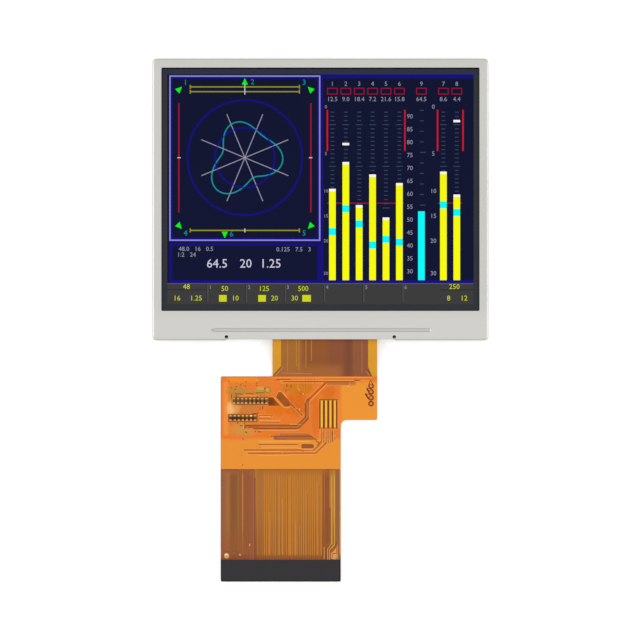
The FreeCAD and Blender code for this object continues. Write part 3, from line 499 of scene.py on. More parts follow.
class Bench:
    """Modelling steps that every sub-assembly uses, all made with operators."""

    @staticmethod
    def free() -> None:
        """Deselects everything."""
        bpy.ops.object.select_all(action="DESELECT")

    @staticmethod
    def take(*pieces: bpy.types.Object) -> None:
        """Selects only these pieces and makes the first one active.

        Args:
            pieces: the pieces.
        """
        Bench.free()
        for piece in pieces:
            piece.select_set(True)
        bpy.context.view_layer.objects.active = pieces[0]

    @staticmethod
    def named(name: str) -> bpy.types.Object:
        """Names the active object and its mesh.

        Args:
            name: the name of both.

        Returns:
            The object.
        """
        piece = bpy.context.active_object
        piece.name = name
        piece.data.name = name
        return piece

    @staticmethod
    def close(piece: bpy.types.Object, angle: float = 35.0) -> bpy.types.Object:
        """Applies the piece's place, merges its doubles, turns its faces outward and smooths it by angle.

        Args:
            piece: the piece.
            angle: edges that turn less than this many degrees are smoothed.

        Returns:
            The piece.
        """
        Bench.take(piece)
        bpy.ops.object.transform_apply(location=True, rotation=True, scale=True)
        bpy.ops.object.mode_set(mode="EDIT")
        bpy.ops.mesh.select_all(action="SELECT")
        bpy.ops.mesh.remove_doubles(threshold=MERGE_GAP)
        bpy.ops.mesh.normals_make_consistent(inside=False)
        bpy.ops.object.mode_set(mode="OBJECT")
        bpy.ops.object.shade_smooth_by_angle(angle=math.radians(angle))
        return piece

    @staticmethod
    def plates(name: str, fields: list[Rectangle], floor: float, thickness: float) -> bpy.types.Object:
        """Makes one piece of thin rectangular plates.

        Args:
            name: the piece's name.
            fields: left, bottom, right and top of each plate.
            floor: level of the plates' undersides.
            thickness: their height.

        Returns:
            The piece.
        """
        Bench.free()
        for number, (left, bottom, right, top) in enumerate(fields):
            centre = ((left + right) / 2, (bottom + top) / 2, floor)
            bpy.ops.mesh.primitive_plane_add(size=1.0, location=centre if number else (0.0, 0.0, 0.0))
            if not number:
                bpy.ops.object.mode_set(mode="EDIT")
                bpy.ops.transform.translate(value=centre)
            bpy.ops.transform.resize(value=(right - left, top - bottom, 1.0), center_override=centre)
        bpy.ops.mesh.select_all(action="SELECT")
        bpy.ops.mesh.extrude_region_move(TRANSFORM_OT_translate={"value": (0.0, 0.0, thickness)})
        bpy.ops.object.mode_set(mode="OBJECT")
        return Bench.close(Bench.named(name))

    @staticmethod
    def chain(points: list[Point], level: float, closed: bool = False) -> bpy.types.Object:
        """Makes a chain of edges by extruding one vertex from point to point.

        Args:
            points: the chain's corners.
            level: the level that it lies at.
            closed: whether it comes back to its start.

        Returns:
            The chain.
        """
        Bench.free()
        bpy.ops.mesh.primitive_plane_add(size=MM, location=(0.0, 0.0, 0.0))
        bpy.ops.object.mode_set(mode="EDIT")
        bpy.ops.mesh.merge(type="CENTER")
        start = Vector((points[0][0], points[0][1], level))
        bpy.ops.transform.translate(value=start)
        spots = points[1:] + (points[:1] if closed else [])
        before = start
        for spot in spots:
            ahead = Vector((spot[0], spot[1], level))
            bpy.ops.mesh.extrude_region_move(TRANSFORM_OT_translate={"value": ahead - before})
            before = ahead
        if closed:
            bpy.ops.mesh.select_all(action="SELECT")
            bpy.ops.mesh.remove_doubles(threshold=MERGE_GAP)
        bpy.ops.object.mode_set(mode="OBJECT")
        return bpy.context.active_object

    @staticmethod
    def strokes(name: str, lines: list[list[Point]], width: float, level: float, thickness: float,
                closed: bool = False) -> bpy.types.Object:
        """Makes one piece of flat rounded strokes that follow lines.

        Args:
            name: the piece's name.
            lines: the points of each line.
            width: width of the strokes.
            level: level of their undersides.
            thickness: their height.
            closed: whether each line comes back to its start.

        Returns:
            The piece.
        """
        chains = [Bench.chain(line, 0.0, closed) for line in lines]
        Bench.take(*chains)
        if len(chains) > 1:
            bpy.ops.object.join()
        return Bench.drawn_out(name, width, level, thickness)

    @staticmethod
    def discs(name: str, centres: list[Point], radius: float, level: float, thickness: float,
              hole: float = 0.0) -> bpy.types.Object:
        """Makes one piece of small flat discs or rings: the first is modelled and the others are its copies.

        Args:
            name: the piece's name.
            centres: where each disc lies.
            radius: their radius.
            level: level of their undersides.
            thickness: their height.
            hole: radius of the hole in each, or 0 for none.

        Returns:
            The piece.
        """
        Bench.free()
        bpy.ops.mesh.primitive_circle_add(vertices=12, radius=radius, fill_type="NGON",
                                          location=(centres[0][0], centres[0][1], level))
        bpy.ops.object.mode_set(mode="EDIT")
        bpy.ops.mesh.select_all(action="SELECT")
        if hole:
            bpy.ops.mesh.inset(thickness=radius - hole)
            bpy.ops.mesh.delete(type="FACE")
            bpy.ops.mesh.select_all(action="SELECT")
        bpy.ops.mesh.extrude_region_move(TRANSFORM_OT_translate={"value": (0.0, 0.0, thickness)})
        bpy.ops.object.mode_set(mode="OBJECT")
        first = bpy.context.active_object
        made = [first]
        for across, up in centres[1:]:
            Bench.take(first)
            bpy.ops.object.duplicate()
            bpy.ops.transform.translate(value=(across - centres[0][0], up - centres[0][1], 0.0))
            made.append(bpy.context.active_object)
        Bench.take(*made)
        if len(made) > 1:
            bpy.ops.object.join()
        return Bench.close(Bench.named(name))

    @staticmethod
    def rim(name: str, node: str, width: float, level: float, thickness: float) -> bpy.types.Object:
        """Makes a narrow ridge that runs on the outline of one of the model's flat nodes.

        Args:
            name: the piece's name.
            node: the node whose outline it follows.
            width: width of the ridge, half of which lies inside the outline.
            level: level of its underside.
            thickness: its height.

        Returns:
            The piece.
        """
        Bench.take(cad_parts[node])
        bpy.ops.object.duplicate()
        piece = bpy.context.active_object
        bpy.ops.object.mode_set(mode="EDIT")
        bpy.ops.mesh.select_all(action="SELECT")
        bpy.ops.mesh.remove_doubles(threshold=MERGE_GAP)
        bpy.ops.mesh.select_all(action="DESELECT")
        bpy.ops.object.mode_set(mode="OBJECT")
        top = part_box(node)[1].z
        for corner in piece.data.vertices:
            corner.select = corner.co.z < top - 0.001 * MM
        bpy.ops.object.mode_set(mode="EDIT")
        bpy.ops.mesh.delete(type="VERT")
        bpy.ops.mesh.select_all(action="SELECT")
        bpy.ops.mesh.dissolve_limited(angle_limit=math.radians(1.0))
        bpy.ops.mesh.delete(type="ONLY_FACE")
        bpy.ops.mesh.select_all(action="SELECT")
        bpy.ops.transform.resize(value=(1.0, 1.0, 0.0), center_override=(0.0, 0.0, 0.0))
        bpy.ops.object.mode_set(mode="OBJECT")
        return Bench.drawn_out(name, width, level, thickness)

    @staticmethod
    def drawn_out(name: str, width: float, level: float, thickness: float) -> bpy.types.Object:
        """Turns the active object's flat chains of edges into flat rounded strokes.

        Args:
            name: the piece's name.
            width: width of the strokes.
            level: level of their undersides.
            thickness: their height.

        Returns:
            The piece.
        """
        bpy.ops.object.convert(target="CURVE")
        line = bpy.context.active_object
        line.data.bevel_depth = width / 2
        line.data.bevel_resolution = 1
        line.data.use_fill_caps = True
        bpy.ops.object.convert(target="MESH")
        bpy.ops.object.mode_set(mode="EDIT")
        bpy.ops.mesh.select_all(action="SELECT")
        bpy.ops.transform.resize(value=(1.0, 1.0, thickness / width), center_override=(0.0, 0.0, 0.0))
        bpy.ops.transform.translate(value=(0.0, 0.0, level + thickness / 2))
        bpy.ops.object.mode_set(mode="OBJECT")
        return Bench.close(Bench.named(name), angle=60.0)

    @staticmethod
    def numerals(name: str, marks: list[tuple[str, float, float]], size: float, level: float,
                 thickness: float) -> bpy.types.Object:
        """Makes one piece of plain numerals.

        Args:
            name: the piece's name.
            marks: each number with the centre that it is set at.
            size: height of the lettering's body.
            level: level of the numerals' undersides.
            thickness: their height.

        Returns:
            The piece.
        """
        made = []
        for text, across, up in marks:
            Bench.free()
            bpy.ops.object.text_add(location=(across, up, level))
            line = bpy.context.active_object
            line.data.body = text
            line.data.size = size
            line.data.align_x = "CENTER"
            line.data.align_y = "CENTER"
            line.data.resolution_u = 2
            line.data.extrude = thickness / 2
            bpy.ops.object.convert(target="MESH")
            made.append(bpy.context.active_object)
        Bench.take(*made)
        bpy.ops.object.join()
        piece = Bench.close(Bench.named(name), angle=30.0)
        Bench.take(piece)
        bpy.ops.object.mode_set(mode="EDIT")
        bpy.ops.mesh.select_all(action="SELECT")
        bpy.ops.transform.translate(value=(0.0, 0.0, thickness / 2))
        bpy.ops.object.mode_set(mode="OBJECT")
        return piece

    @staticmethod
    def fit(piece: bpy.types.Object, slot: str, finish: Finish, replaces: tuple[str, ...] = ()) -> None:
        """Dresses a new piece, sets it on the body and reports it.

        Args:
            piece: the piece.
            slot: not used.
            finish: its finish.
            replaces: the model's nodes that it stands for.
        """
        piece.data.materials.clear()
        piece.data.materials.append(finish.material())
        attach(piece, "root")
        if replaces:
            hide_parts(*replaces)
        log.info("piece %s: %d faces", piece.name, len(piece.data.polygons))

    @staticmethod
    def dress(node: str, finish: Finish) -> None:
        """Gives one of the model's own nodes a better material.

        Args:
            node: the node's name.
            finish: its finish.
        """
        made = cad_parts[node]
        made.data.materials.clear()
        made.data.materials.append(finish.material())
        log.info("node %s: %s", node, finish.name)


class PictureTone(Enum):
    """Colours of the lit picture."""

    NAVY = (13, 18, 50)
    DEEP_BLUE = (19, 10, 128)
    LAVENDER = (146, 138, 224)
    GREY = (150, 150, 176)
    PALE = (205, 205, 224)
    TICK = (50, 68, 94)
    YELLOW = (252, 255, 8)
    OLIVE = (150, 148, 28)
    CYAN = (5, 255, 255)
    TEAL = (8, 150, 160)
    RED = (214, 20, 44)
    CRIMSON = (160, 14, 52)
    GREEN = (0, 250, 26)
    WHITE = (255, 255, 255)
    KEY_GREY = (60, 60, 60)
    KEY_DARK = (40, 42, 42)
    KEY_LIGHT = (86, 92, 88)
    KEY_YELLOW = (208, 216, 14)


@dataclass
class Screen:
    """The lit picture: a generic instrument page, laid out in the display's pixels.

    Attributes:
        columns: pixels across.
        slim: thickness of what is drawn, in metres.
        bar_width: width of a level bar, in pixels.
        bar_lefts: left edge of each yellow bar, in pixels.
        cyan_left: left edge of the cyan bar, in pixels.
        tick_gap: distance from one tick above a bar to the next, in pixels.
        scope_centre: centre of the round field, in pixels.
        scope_radius: its radius, in pixels.
        low: lower left corner of the lit field.
        high: its upper right corner.
    """

    columns: int = 320
    slim: float = 0.012 * MM
    bar_width: float = 7.0
    bar_lefts: tuple[int, ...] = (169, 183, 197, 211, 225, 239, 285, 299)
    cyan_left: int = 262
    tick_gap: float = 4.35
    scope_centre: Point = (81.0, 153.0)
    scope_radius: float = 60.0
    low: Vector = field(default_factory=lambda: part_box("picture_ground")[0])
    high: Vector = field(default_factory=lambda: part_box("picture_ground")[1])

    @property
    def pitch(self) -> float:
        """Distance from one pixel to the next."""
        return (self.high.x - self.low.x) / self.columns

    def spot(self, column: float, row: float) -> Point:
        """The place of a pixel."""
        return self.low.x + column * self.pitch, self.low.y + row * self.pitch

    def area(self, left: float, bottom: float, right: float, top: float) -> Rectangle:
        """A field of pixels."""
        return self.spot(left, bottom) + self.spot(right, top)

    def tone(self, tone: PictureTone) -> LitFinish:
        """The finish of pixels lit in a colour.

        Args:
            tone: the colour.

        Returns:
            The finish.
        """
        other = tuple(round(channel * 0.97) for channel in tone.value)
        return LitFinish(f"pixels_{tone.name.lower()}", tone.value, other, patch=9 * MM, rough=0.42,
                         rough_play=0.05, grain=0.12 * MM, foot=self.low.y, height=self.high.y - self.low.y)

    def fields(self, name: str, tone: PictureTone, slot: str, areas: list[Rectangle], layer: int = 0,
               replaces: tuple[str, ...] = ()) -> None:
        """Draws filled fields, given in pixels, on one of the picture's thin layers.

        Args:
            name: the piece's name.
            tone: its colour.
            slot: its material slot.
            areas: left, bottom, right and top of each field.
            layer: how many quarters of its thickness it lies above the ground.
            replaces: the model's nodes that it stands for.
        """
        spots = [self.area(*area) for area in areas]
        piece = Bench.plates(name, spots, self.high.z + layer * self.slim / 4, self.slim)
        Bench.fit(piece, slot, self.tone(tone), replaces)

    def lines(self, name: str, tone: PictureTone, slot: str, lines: list[list[Point]], width: float,
              closed: bool = False) -> None:
        """Draws lines a number of pixels wide.

        Args:
            name: the piece's name.
            tone: its colour.
            slot: its material slot.
            lines: the points of each line, in pixels.
            width: width of the lines, in pixels.
            closed: whether each line comes back to its start.
        """
        spots = [[self.spot(*point) for point in line] for line in lines]
        piece = Bench.strokes(name, spots, width * self.pitch, self.high.z, self.slim, closed)
        Bench.fit(piece, slot, self.tone(tone))

    def digits(self, name: str, tone: PictureTone, slot: str, marks: list[tuple[str, float, float]],
               size: float, lifted: bool = False) -> None:
        """Draws plain numerals at pixel places.

        Args:
            name: the piece's name.
            tone: its colour.
            slot: its material slot.
            marks: each number with its centre, in pixels.
            size: height of the lettering's body, in pixels.
            lifted: whether they lie on a drawn field, a layer higher and half as thick.
        """
        spots = [(text,) + self.spot(column, row) for text, column, row in marks]
        level = self.high.z + (self.slim if lifted else 0.0)
        piece = Bench.numerals(name, spots, size * self.pitch, level, self.slim / (2 if lifted else 1))
        Bench.fit(piece, slot, self.tone(tone))

    @staticmethod
    def ring(centre: Point, radius: float, count: int = 72) -> list[Point]:
        """Points of a circle."""
        turns = [2 * math.pi * number / count for number in range(count)]
        return [(centre[0] + radius * math.cos(turn), centre[1] + radius * math.sin(turn)) for turn in turns]

    @staticmethod
    def border(left: float, bottom: float, right: float, top: float, wide: float) -> list[Rectangle]:
        """Four fields that run round a rectangle, inside it.

        Args:
            left: the rectangle's left edge, in pixels, as are the others.
            bottom: its lower edge.
            right: its right edge.
            top: its upper edge.
            wide: width of the fields.

        Returns:
            The fields.
        """
        return [(left, bottom, right, bottom + wide), (left, top - wide, right, top),
                (left, bottom + wide, left + wide, top - wide),
                (right - wide, bottom + wide, right, top - wide)]

    def build_ground(self) -> None:
        """The dark ground and the borders of the three panels."""
        Bench.dress("picture_ground", self.tone(PictureTone.NAVY))
        self.fields("panel_border_scope", PictureTone.LAVENDER, "picture_violet",
                    self.border(2, 66, 160, 239, 1.5), replaces=("picture_panels",))
        blue = self.border(3.5, 67.5, 158.5, 237.5, 1.8) + self.border(2, 22, 160, 64, 3)
        blue += [(163, 22, 320, 25), (163, 236, 320, 240), (160.5, 22, 163, 240)]
        self.fields("panel_borders_blue", PictureTone.DEEP_BLUE, "picture_violet", blue)

    def build_scope(self) -> None:
        """The round field of the upper left panel: rings, spokes, a closed curve, scales and limit lines."""
        across, up = self.scope_centre
        reach = self.scope_radius
        inner, spoke = reach * 0.52, reach * 0.82
        rings = [self.ring(self.scope_centre, reach), self.ring(self.scope_centre, inner)]
        self.lines("scope_rings", PictureTone.DEEP_BLUE, "picture_violet", rings, 2.0, closed=True)
        spokes = []
        for number in range(8):
            turn = math.pi / 8 + number * math.pi / 4
            spokes.append([self.scope_centre, (across + spoke * math.cos(turn), up + spoke * math.sin(turn))])
        self.lines("scope_spokes", PictureTone.GREY, "picture_violet", spokes, 0.9)
        curve = []
        count = 96
        for number in range(count):
            turn = 2 * math.pi * number / count
            reach_here = 33 + 7.5 * math.cos(3 * turn + 0.5) + 4 * math.sin(2 * turn)
            curve.append((across + reach_here * math.cos(turn), up + reach_here * math.sin(turn)))
        self.lines("scope_curve", PictureTone.TEAL, "picture_cyan", [curve], 1.3, closed=True)
        scales = [[(24, 227), (138, 227)], [(24, 222), (138, 222)], [(24, 77), (138, 77)]]
        ticks = [[(column, row - 2), (column, row + 2)] for row in (227, 222, 77) for column in (24, 138)]
        self.lines("scope_scales", PictureTone.OLIVE, "picture_yellow", scales + ticks, 1.3)
        self.lines("scope_limits", PictureTone.CRIMSON, "picture_violet",
                   [[(12, 96), (12, 210)], [(150, 96), (150, 210)]], 1.5)
        self.fields("scope_zero_marks", PictureTone.PALE, "picture_violet",
                    [(10.5, 152.5, 14, 153.5), (148, 152.5, 151.5, 153.5), (80.5, 219, 81.5, 230),
                     (80.5, 75, 81.5, 79)])

    def build_pointers(self) -> None:
        """Small green arrowheads round the scope, each with its number."""
        places = ((81, 231.6, 0.0), (12, 224, 0.8), (150, 224, -0.8), (12, 82, 2.4), (150, 82, -2.4),
                  (60, 73.4, 3.14))
        piece = self.arrowheads([(*self.spot(across, up), turn) for across, up, turn in places], 0.82 * MM)
        Bench.fit(piece, "picture_yellow", self.tone(PictureTone.GREEN))
        marks = [("1", 19, 231.5), ("2", 89, 232), ("3", 143, 231.5), ("4", 19, 74), ("5", 143, 74),
                 ("6", 67, 73)]
        self.digits("scope_numerals", PictureTone.TEAL, "picture_cyan", marks, 8.0)

    def arrowheads(self, places: list[tuple[float, float, float]], size: float) -> bpy.types.Object:
        """Makes arrowheads from flat three-sided discs, drawn out at their point and raised.

        Args:
            places: where each lies and how far it is turned, in radians.
            size: radius of the disc.

        Returns:
            The piece.
        """
        Bench.free()
        made = []
        for across, up, turn in places:
            bpy.ops.mesh.primitive_circle_add(vertices=3, radius=size, fill_type="NGON",
                                              location=(across, up, self.high.z))
            bpy.ops.object.mode_set(mode="EDIT")
            bpy.ops.mesh.select_all(action="SELECT")
            centre = (across, up, self.high.z)
            bpy.ops.transform.resize(value=(1.0, 1.2, 1.0), center_override=centre)
            bpy.ops.transform.rotate(value=turn, orient_axis="Z", center_override=centre)
            bpy.ops.mesh.extrude_region_move(TRANSFORM_OT_translate={"value": (0.0, 0.0, self.slim)})
            bpy.ops.object.mode_set(mode="OBJECT")
            made.append(bpy.context.active_object)
        Bench.take(*made)
        bpy.ops.object.join()
        return Bench.close(Bench.named("scope_pointers"))

    def build_reading(self) -> None:
        """The lower left panel: one large number and small ones above it."""
        self.digits("reading_large", PictureTone.PALE, "picture_violet",
                    [("64.5", 52, 42), ("20", 82, 42), ("1.25", 108, 42)], 13.0)
        small = [("48.0   16   0.5", 30, 57.5), ("1:2   24", 20, 51.5), ("0.125   7.5   3", 132, 57)]
        self.digits("reading_small", PictureTone.GREY, "picture_violet", small, 6.5)

    def build_bars(self) -> None:
        """The level bars: yellow with white caps and cyan marks, and one cyan bar."""
        yellow = self.tone(PictureTone.YELLOW)
        Bench.dress("picture_yellow_bars", yellow)
        Bench.dress("picture_cyan_bars", self.tone(PictureTone.CYAN))
        tops = (118, 146, 101, 133, 88, 124, 136, 112)
        caps = [(left, top, left + self.bar_width, top + 2.5) for left, top in zip(self.bar_lefts, tops)]
        peaks = [(183, 166, 190, 168.5), (299, 190, 306, 192.5)]
        self.fields("bar_caps", PictureTone.WHITE, "picture_violet", caps + peaks, layer=1)
        levels = (72, 96, 80, 58, 64, 61, 100, 92)
        marks = [(left, level, left + self.bar_width, level + 7.5)
                 for left, level in zip(self.bar_lefts, levels)]
        self.fields("bar_marks", PictureTone.CYAN, "picture_cyan", marks, layer=4)

    def build_scales(self) -> None:
        """Tick columns above the bars, the scale numbers, the limit lines and the row of small boxes."""
        columns = self.bar_lefts + (self.cyan_left,)
        ticks = []
        for left in self.bar_lefts:
            for step in range(24):
                wide = 3.5 if step % 10 == 0 else 2.0
                middle = left + self.bar_width / 2
                above = step * self.tick_gap
                ticks.append((middle - wide, 100 + above, middle + wide, 101 + above))
        for step in range(10):
            level = 103 + step * 11.0
            ticks.append((264, level, 270 if step % 5 == 0 else 268, level + 1))
        self.fields("bar_ticks", PictureTone.TICK, "picture_violet", ticks)
        left_marks = [(text, 165.7, row) for text, row in
                      (("0", 206), ("5", 157), ("10", 118), ("15", 92), ("20", 66), ("30", 32))]
        self.digits("left_numerals", PictureTone.GREY, "picture_violet", left_marks, 4.8)
        right_marks = [(text, 278, row) for text, _, row in left_marks]
        middle_marks = [(str(90 - 5 * step), 253.5, 196 - 13.5 * step) for step in range(13)]
        middles = [left + self.bar_width / 2 for left in columns]
        heads = [(str(number + 1), middle, 230) for number, middle in enumerate(middles)]
        levels = ("12.5", "9.0", "18.4", "7.2", "21.6", "15.8", "8.6", "4.4", "64.5")
        readings = [(text, middle, 214) for text, middle in zip(levels, middles)]
        self.digits("scale_numerals", PictureTone.GREY, "picture_violet",
                    right_marks + middle_marks + heads + readings, 6.5)
        boxes = []
        for left in columns:
            boxes += self.border(left - 2, 219, left + 9, 226, 0.9)
        self.fields("reading_boxes", PictureTone.CRIMSON, "picture_violet", boxes)
        limits = [(166.4, 160, 168, 203), (247.5, 160, 249, 203), (281.6, 160, 283.2, 203),
                  (308.2, 160, 309.8, 203)]
        self.fields("scale_limits", PictureTone.RED, "picture_violet", limits)
        self.fields("scale_line", PictureTone.CRIMSON, "picture_violet",
                    [(167, 105, 247, 106), (283, 105, 308, 106)], layer=-1)

    def build_keys(self) -> None:
        """The grey row of keys along the bottom, with plain numbers and filled boxes."""
        self.fields("key_strip", PictureTone.KEY_GREY, "picture_grey", [(0, 0, 320, 22)],
                    replaces=("picture_keys",))
        edges = (41, 81.5, 122, 163, 204, 245)
        shades = [(edge, 1, edge + 0.9, 20) for edge in edges] + [(0, 14.5, 40, 15.4), (285, 14.5, 320, 15.4)]
        self.fields("key_edges_dark", PictureTone.KEY_DARK, "picture_grey", shades, layer=2)
        lights = [(0, 21, 320, 21.8)] + [(edge + 0.9, 2, edge + 1.6, 20) for edge in edges]
        self.fields("key_edges_light", PictureTone.KEY_LIGHT, "picture_grey", lights, layer=2)
        numbers = [(str(number + 1), edge + 4, 17.5) for number, edge in enumerate(edges)]
        values = [("50", 60, 16), ("125", 101, 16), ("500", 142, 16), ("16", 10, 6), ("1.25", 30, 6),
                  ("48", 20, 18), ("250", 300, 18), ("8", 294, 6), ("12", 310, 6), ("10", 71, 6),
                  ("20", 112, 6), ("30", 133, 6)]
        self.digits("key_numbers", PictureTone.GREY, "picture_grey", numbers, 5.5, lifted=True)
        self.digits("key_values", PictureTone.KEY_YELLOW, "picture_grey", values, 7.5, lifted=True)
        boxes = [(54, 2.5, 62, 9.5), (95, 2.5, 103, 9.5), (141, 2.5, 150, 9.5)]
        self.fields("key_boxes", PictureTone.KEY_YELLOW, "picture_yellow", boxes, layer=2)

    def build(self) -> None:
        """Draws the whole picture."""
        self.build_ground()
        self.build_scope()
        self.build_pointers()
        self.build_reading()
        self.build_bars()
        self.build_scales()
        self.build_keys()


@dataclass
class Housing:
    """The folded steel shells, the moulded frame and what lies between them.

    Attributes:
        notches: how far right of the centre line each notch lies.
        patch: width of the dark patch under a notch.
        patch_rise: how far its lower and upper edges lie in from the module's edge.
        bead_rise: height of the pressed bead above the bezel's lower edge.
        bead_reach: how far it runs either side of the centre line.
        bead_width: its width.
        rim: how far the lit field stays from the painted shadow line that the window's edge would throw, left
            and top.
        shell: box of the bezel.
        film: box of the front film.
        lit: box of the lit field.
    """

    notches: tuple[float, float] = (-21.5 * MM, 16.9 * MM)
    patch: float = 2.4 * MM
    patch_rise: Point = (0.78 * MM, 2.0 * MM)
    bead_rise: float = 2.4 * MM
    bead_reach: float = 25.0 * MM
    bead_width: float = 0.8 * MM
    rim: Point = (1.62 * MM, 1.28 * MM)
    shell: Box = field(default_factory=lambda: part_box("front_bezel"))
    film: Box = field(default_factory=lambda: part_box("front_polarizer"))
    lit: Box = field(default_factory=lambda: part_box("picture_ground"))

    def steel_painted_light_zones(self) -> tuple[Zone, ...]:
        """Painted light and shade on the bezel: lighter to the left and along its foot, painted shade at its
        top and in its bead's groove.

        Returns:
            The fields of painted light and shade.
        """
        low, high = self.shell
        left = (low.x - MM, low.y - MM, self.film[0].x, high.y + MM)
        top = (low.x - MM, self.film[1].y, high.x + MM, high.y + MM)
        foot = (low.x - MM, low.y - MM, high.x + MM, self.film[0].y)
        middle = low.y + self.bead_rise
        bead_shade = (-self.bead_reach, middle - self.bead_width / 2, self.bead_reach, middle + self.bead_width / 2)
        # Painted light on the left margin and the foot, painted shade along the top and in the pressed bead's
        # groove.
        return (Zone((208, 206, 202), left, 8 * MM, 0.8), Zone((198, 199, 191), top, 6 * MM, 0.9),
                Zone((210, 208, 204), foot, 4 * MM, 0.9), Zone((196, 194, 187), bead_shade, 0.3 * MM, 0.9))

    def film_tint_and_shadow_zones(self) -> tuple[Zone, ...]:
        """Painted shadow lines beside the window's left and upper edges, and a bluer field above the picture.

        Returns:
            The fields of colour, the painted shadow among them.
        """
        low, high = self.film
        left = (low.x - MM, low.y - MM, self.lit[0].x - self.rim[0], high.y + MM)
        top = (low.x - MM, self.lit[1].y + self.rim[1], high.x + MM, high.y + MM)
        blue = (low.x - MM, self.lit[1].y, high.x + MM, high.y + MM)
        # The two near-black fields are painted shadow of the window's edge.
        return (Zone((43, 47, 64), blue, 0.3 * MM, 0.9), Zone((14, 16, 20), left, 0.14 * MM),
                Zone((14, 16, 20), top, 0.14 * MM))

    def patches(self) -> tuple[Zone, ...]:
        """Dark patches of the frame under the notches.

        Returns:
            A field of colour for each notch.
        """
        bottom, top = (self.shell[0].y + rise for rise in self.patch_rise)
        half = self.patch / 2
        return tuple(Zone((14, 14, 15), (notch - half, bottom, notch + half, top), 0.05 * MM)
                     for notch in self.notches)

    def finishes(self) -> dict[str, Finish]:
        """The finish of each node of the housing, the cell and the backlight, apart from the lamps' strip.

        Returns:
            The finishes by node.
        """
        steel = ZonedFinish("rolled_steel_front", (206, 204, 201), (199, 199, 193), patch=22 * MM, rough=0.34,
                            rough_play=0.05, metal=1.0, grain=0.09 * MM, stretch=(14.0, 1.0, 1.0),
                            depth=0.002 * MM, zones=self.steel_painted_light_zones())
        rear = Finish("rolled_steel_rear", (200, 198, 194), (191, 190, 184), patch=17 * MM, rough=0.38,
                      rough_play=0.06, metal=1.0, grain=0.09 * MM, stretch=(14.0, 1.0, 1.0), depth=0.002 * MM)
        white = Finish("white_resin", (240, 240, 237), (232, 232, 228), rough=0.5)
        film = ZonedFinish("anti_glare_film", (44, 47, 52), (52, 53, 58), patch=11 * MM, rough=0.46,
                           rough_play=0.05, shine=0.05, grain=0.05 * MM, depth=0.001 * MM,
                           zones=self.film_tint_and_shadow_zones())
        glass = ClearFinish("cell_glass", (226, 236, 234), (218, 230, 228), rough=0.06, rough_play=0.02)
        frosted = Finish("frosted_film", (238, 239, 240), (228, 230, 232), rough=0.6)
        tape = Finish("black_tape", (22, 22, 22), (30, 30, 30), rough=0.7, grain=0.1 * MM)
        return {
            "front_bezel": steel,
            "rear_plate": rear,
            "moulded_frame": ZonedFinish("white_resin_frame", (240, 240, 237), (232, 232, 228), rough=0.5,
                                         zones=self.patches()),
            "reflector_film": frosted,
            "light_guide": ClearFinish("clear_acrylic", (236, 242, 244), (230, 238, 242), rough=0.08,
                                       rough_play=0.02),
            "diffuser_film": frosted,
            "lower_prism_film": frosted,
            "upper_prism_film": frosted,
            "rim_tape": tape,
            "bezel_cushion": tape,
            "rear_polarizer": film,
            "array_glass": glass,
            "colour_filter_glass": glass,
            "front_polarizer": film,
            "driver_chip": Finish("polished_silicon", (66, 68, 74), (56, 58, 64), rough=0.15),
            "backlight_leds": white,
            "led_windows": Finish("phosphor_resin", (226, 206, 96), (214, 190, 70), rough=0.5),
        }

    def build(self) -> None:
        """Dresses every node."""
        for node, finish in self.finishes().items():
            Bench.dress(node, finish)


@dataclass
class Sheet:
    """The flexible circuit's plan, on the square grid that its wide part is laid out on.

    Attributes:
        columns: grid steps across the film.
        relief: height of the fine detail.
        tail: box of the stiffener, which is as wide as the film.
        cover: box of the cover film.
    """

    columns: float = 110.0
    relief: float = 0.02 * MM
    tail: Box = field(default_factory=lambda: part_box("tail_stiffener"))
    cover: Box = field(default_factory=lambda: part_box("component_coverlay"))

    @property
    def step(self) -> float:
        """One step of the grid."""
        return (self.tail[1].x - self.tail[0].x) / self.columns

    def spot(self, column: float, row: float) -> Point:
        """A point of the grid, which starts at the wide part's upper left corner."""
        return self.tail[0].x + column * self.step, self.cover[1].y - row * self.step

    def area(self, left: float, top: float, right: float, bottom: float) -> Rectangle:
        """A rectangle of the grid, as left, bottom, right and top."""
        return self.spot(left, bottom) + self.spot(right, top)

    def zone(self, tone: Colour, edges: Rectangle, soft: float = 1.0, weight: float = 1.0) -> Zone:
        """A field of colour between grid lines: left, top, right and bottom."""
        return Zone(tone, self.area(*edges), soft * self.step, weight)

    def glow(self, tone: Colour, edges: Rectangle, weight: float = 1.0) -> Zone:
        """An oval of colour between grid lines."""
        return Zone(tone, self.area(*edges), 0.0, weight, True)


